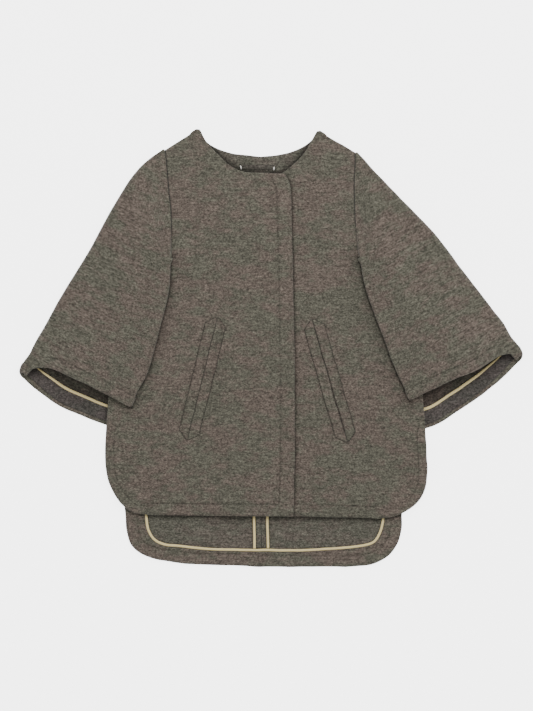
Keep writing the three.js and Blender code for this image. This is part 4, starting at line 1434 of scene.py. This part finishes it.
for side_name, half in HALVES.items():
    plan, low = front_plans[side_name], vent_sides[side_name]
    hem = even(np.concatenate([low, plan[-1, 1:]]))
    side_end = length_along(low)[-1]
    depth = mix(SIDE_DEPTH, HEM_DEPTH, smooth(length_along(hem), side_end - SIDE_EASE, side_end))
    inner_line = beside(hem, 1.0) - hem
    hem_line = hem + inner_line * half["inward"] * depth[:, None]
    if side_name == "left":
        hem_line = hem_line[hem_line[:, 0] > COVERED_X]
    bead_run(
        f"hem_stitches_front_{side_name}", on_front(side_name, hem_line), **STITCH,
        material="wool_thread", slot="wool",
    )
    ring = cuff_stitches[side_name]
    row = np.concatenate([ring[-RING["back"]:], ring[: RING["back"] + len(TURN) + RING["front"] + 3]])
    bead_run(
        f"cuff_stitches_{side_name}", row, **STITCH, material="wool_thread", slot="wool", sunk=0.0,
    )
    top, bottom = half["pocket"]
    down = unit(bottom - top)
    outward = np.array([down[1], -down[0]]) * BAR_TACK_REACH * POCKET["width"]
    for part, corner in (("top", top + BAR_TACK_AT * down), ("foot", bottom - BAR_TACK_AT * down)):
        tack = mix(corner, corner + outward, np.linspace(0.04, 1, 20)[:, None])
        bead_run(
            f"bar_tack_{side_name}_{part}", on_front(side_name, tack, -POCKET["welt"]), **BAR_TACK,
            material="wool_thread", slot="wool",
        )
edge_line = even(smooth_line(RIGHT["front_edge"]))
placket_line = beside(edge_line, -PLACKET_DEPTH)
bead_run(
    "placket_stitches", on_front("right", placket_line), **STITCH, material="wool_thread", slot="wool",
)
tail_line = beside(even(tail_edge), TAIL_STITCH)
tail_line = tail_line[tail_line[:, 1] < TAIL_STITCH_TOP]
tail_height = back_middle(tail_line[:, 0], tail_line[:, 1]) + CLOTH / 2 + FACING - 0.5
bead_run(
    "hem_stitches_back", np.column_stack([tail_line, tail_height]), **STITCH,
    material="wool_thread", slot="wool_inside",
)
for name, ends in LABEL_TACKS.items():
    tack = mix(*ends, np.linspace(0, 1, 30)[:, None])
    height = back_middle(tack[:, 0], tack[:, 1]) + CLOTH / 2 + FACING + LABEL_TACK_HEIGHT
    bead_run(
        name, np.column_stack([tack, height]), **LABEL_TACK, material="light_thread", slot="label",
    )

for side_name in HALVES:
    declare(
        sleeve_grids[side_name], True,
    )
    declare(
        front_grids[side_name]
    )
    trims = [f"back_seam_allowance_{side_name}", f"back_seam_binding_{side_name}"]
    if side_name == "right":
        trims += ["back_hem_facing", "back_hem_binding", "back_neck_facing", "neck_label"]
    declare(
        back_grids[side_name]
    )


# Floor, light and camera

# The photograph's height and middle in pixels, at about 1.25 mm each. The middle is told from the
# pixel that lies on the coat's origin before it is centred.
FRAME_HEIGHT = 711 * 1.245 * MM
PHOTO_CENTRE = ((266.5 - 271) * 1.25, (348 - 355.5) * 1.25)
CAMERA_HEIGHT = 6.0
FLOOR = {"half": 3.0, "sunk": 0.0002, "colour": (0.93, 0.93, 0.93, 1), "glow": 4.0}
AMBIENT = 0.75
LAMP = {"size": (1.6, 1.2), "energy": 23.3, "place": (0.35, 1.3, 1.7)}


def make_stage():
    """A pale floor, a soft light from every side and a broad one from above the neck."""
    half = FLOOR["half"]
    mesh = bpy.data.meshes.new("floor")
    corners = [(-half, -half), (half, -half), (half, half), (-half, half)]
    mesh.from_pydata([(x, y, -FLOOR["sunk"]) for x, y in corners], [], [(0, 1, 2, 3)])
    new_material(
        "floor_paint", Base_Color=FLOOR["colour"], Roughness=0.9, Emission_Color=(1, 1, 1, 1),
        Emission_Strength=FLOOR["glow"],
    )
    mesh.materials.append(material_of["floor_paint"])
    floor = bpy.data.objects.new("floor", mesh)
    bpy.context.scene.collection.objects.link(floor)
    floor.visible_diffuse = False
    floor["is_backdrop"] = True
    world = bpy.data.worlds.new("studio")
    world.use_nodes = True
    world.node_tree.nodes["Background"].inputs[0].default_value = (1, 1, 1, 1)
    world.node_tree.nodes["Background"].inputs[1].default_value = AMBIENT
    bpy.context.scene.world = world
    lamp = bpy.data.lights.new("soft_box", "AREA")
    lamp.shape = "RECTANGLE"
    lamp.size, lamp.size_y = LAMP["size"]
    lamp.energy = LAMP["energy"]
    soft_box = bpy.data.objects.new("soft_box", lamp)
    soft_box.location = LAMP["place"]
    direction = -np.array(soft_box.location)
    soft_box.rotation_euler = (
        math.atan2(math.hypot(direction[0], direction[1]), -direction[2]), 0,
        math.atan2(direction[1], direction[0]) - math.pi / 2,
    )
    bpy.context.scene.collection.objects.link(soft_box)


def make_camera():
    """A long lens straight above the middle of the photograph's frame."""
    lens = bpy.data.cameras.new("camera")
    lens.sensor_width = 36
    lens.lens = lens.sensor_width * CAMERA_HEIGHT / FRAME_HEIGHT
    camera = bpy.data.objects.new("camera", lens)
    x, y = PHOTO_CENTRE[0] + SHIFT_X, PHOTO_CENTRE[1] + SHIFT_Y
    camera.location = (x * MM, y * MM, CAMERA_HEIGHT + 0.01)
    bpy.context.scene.collection.objects.link(camera)
    bpy.context.scene.camera = camera


make_stage()
make_camera()
low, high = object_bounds()
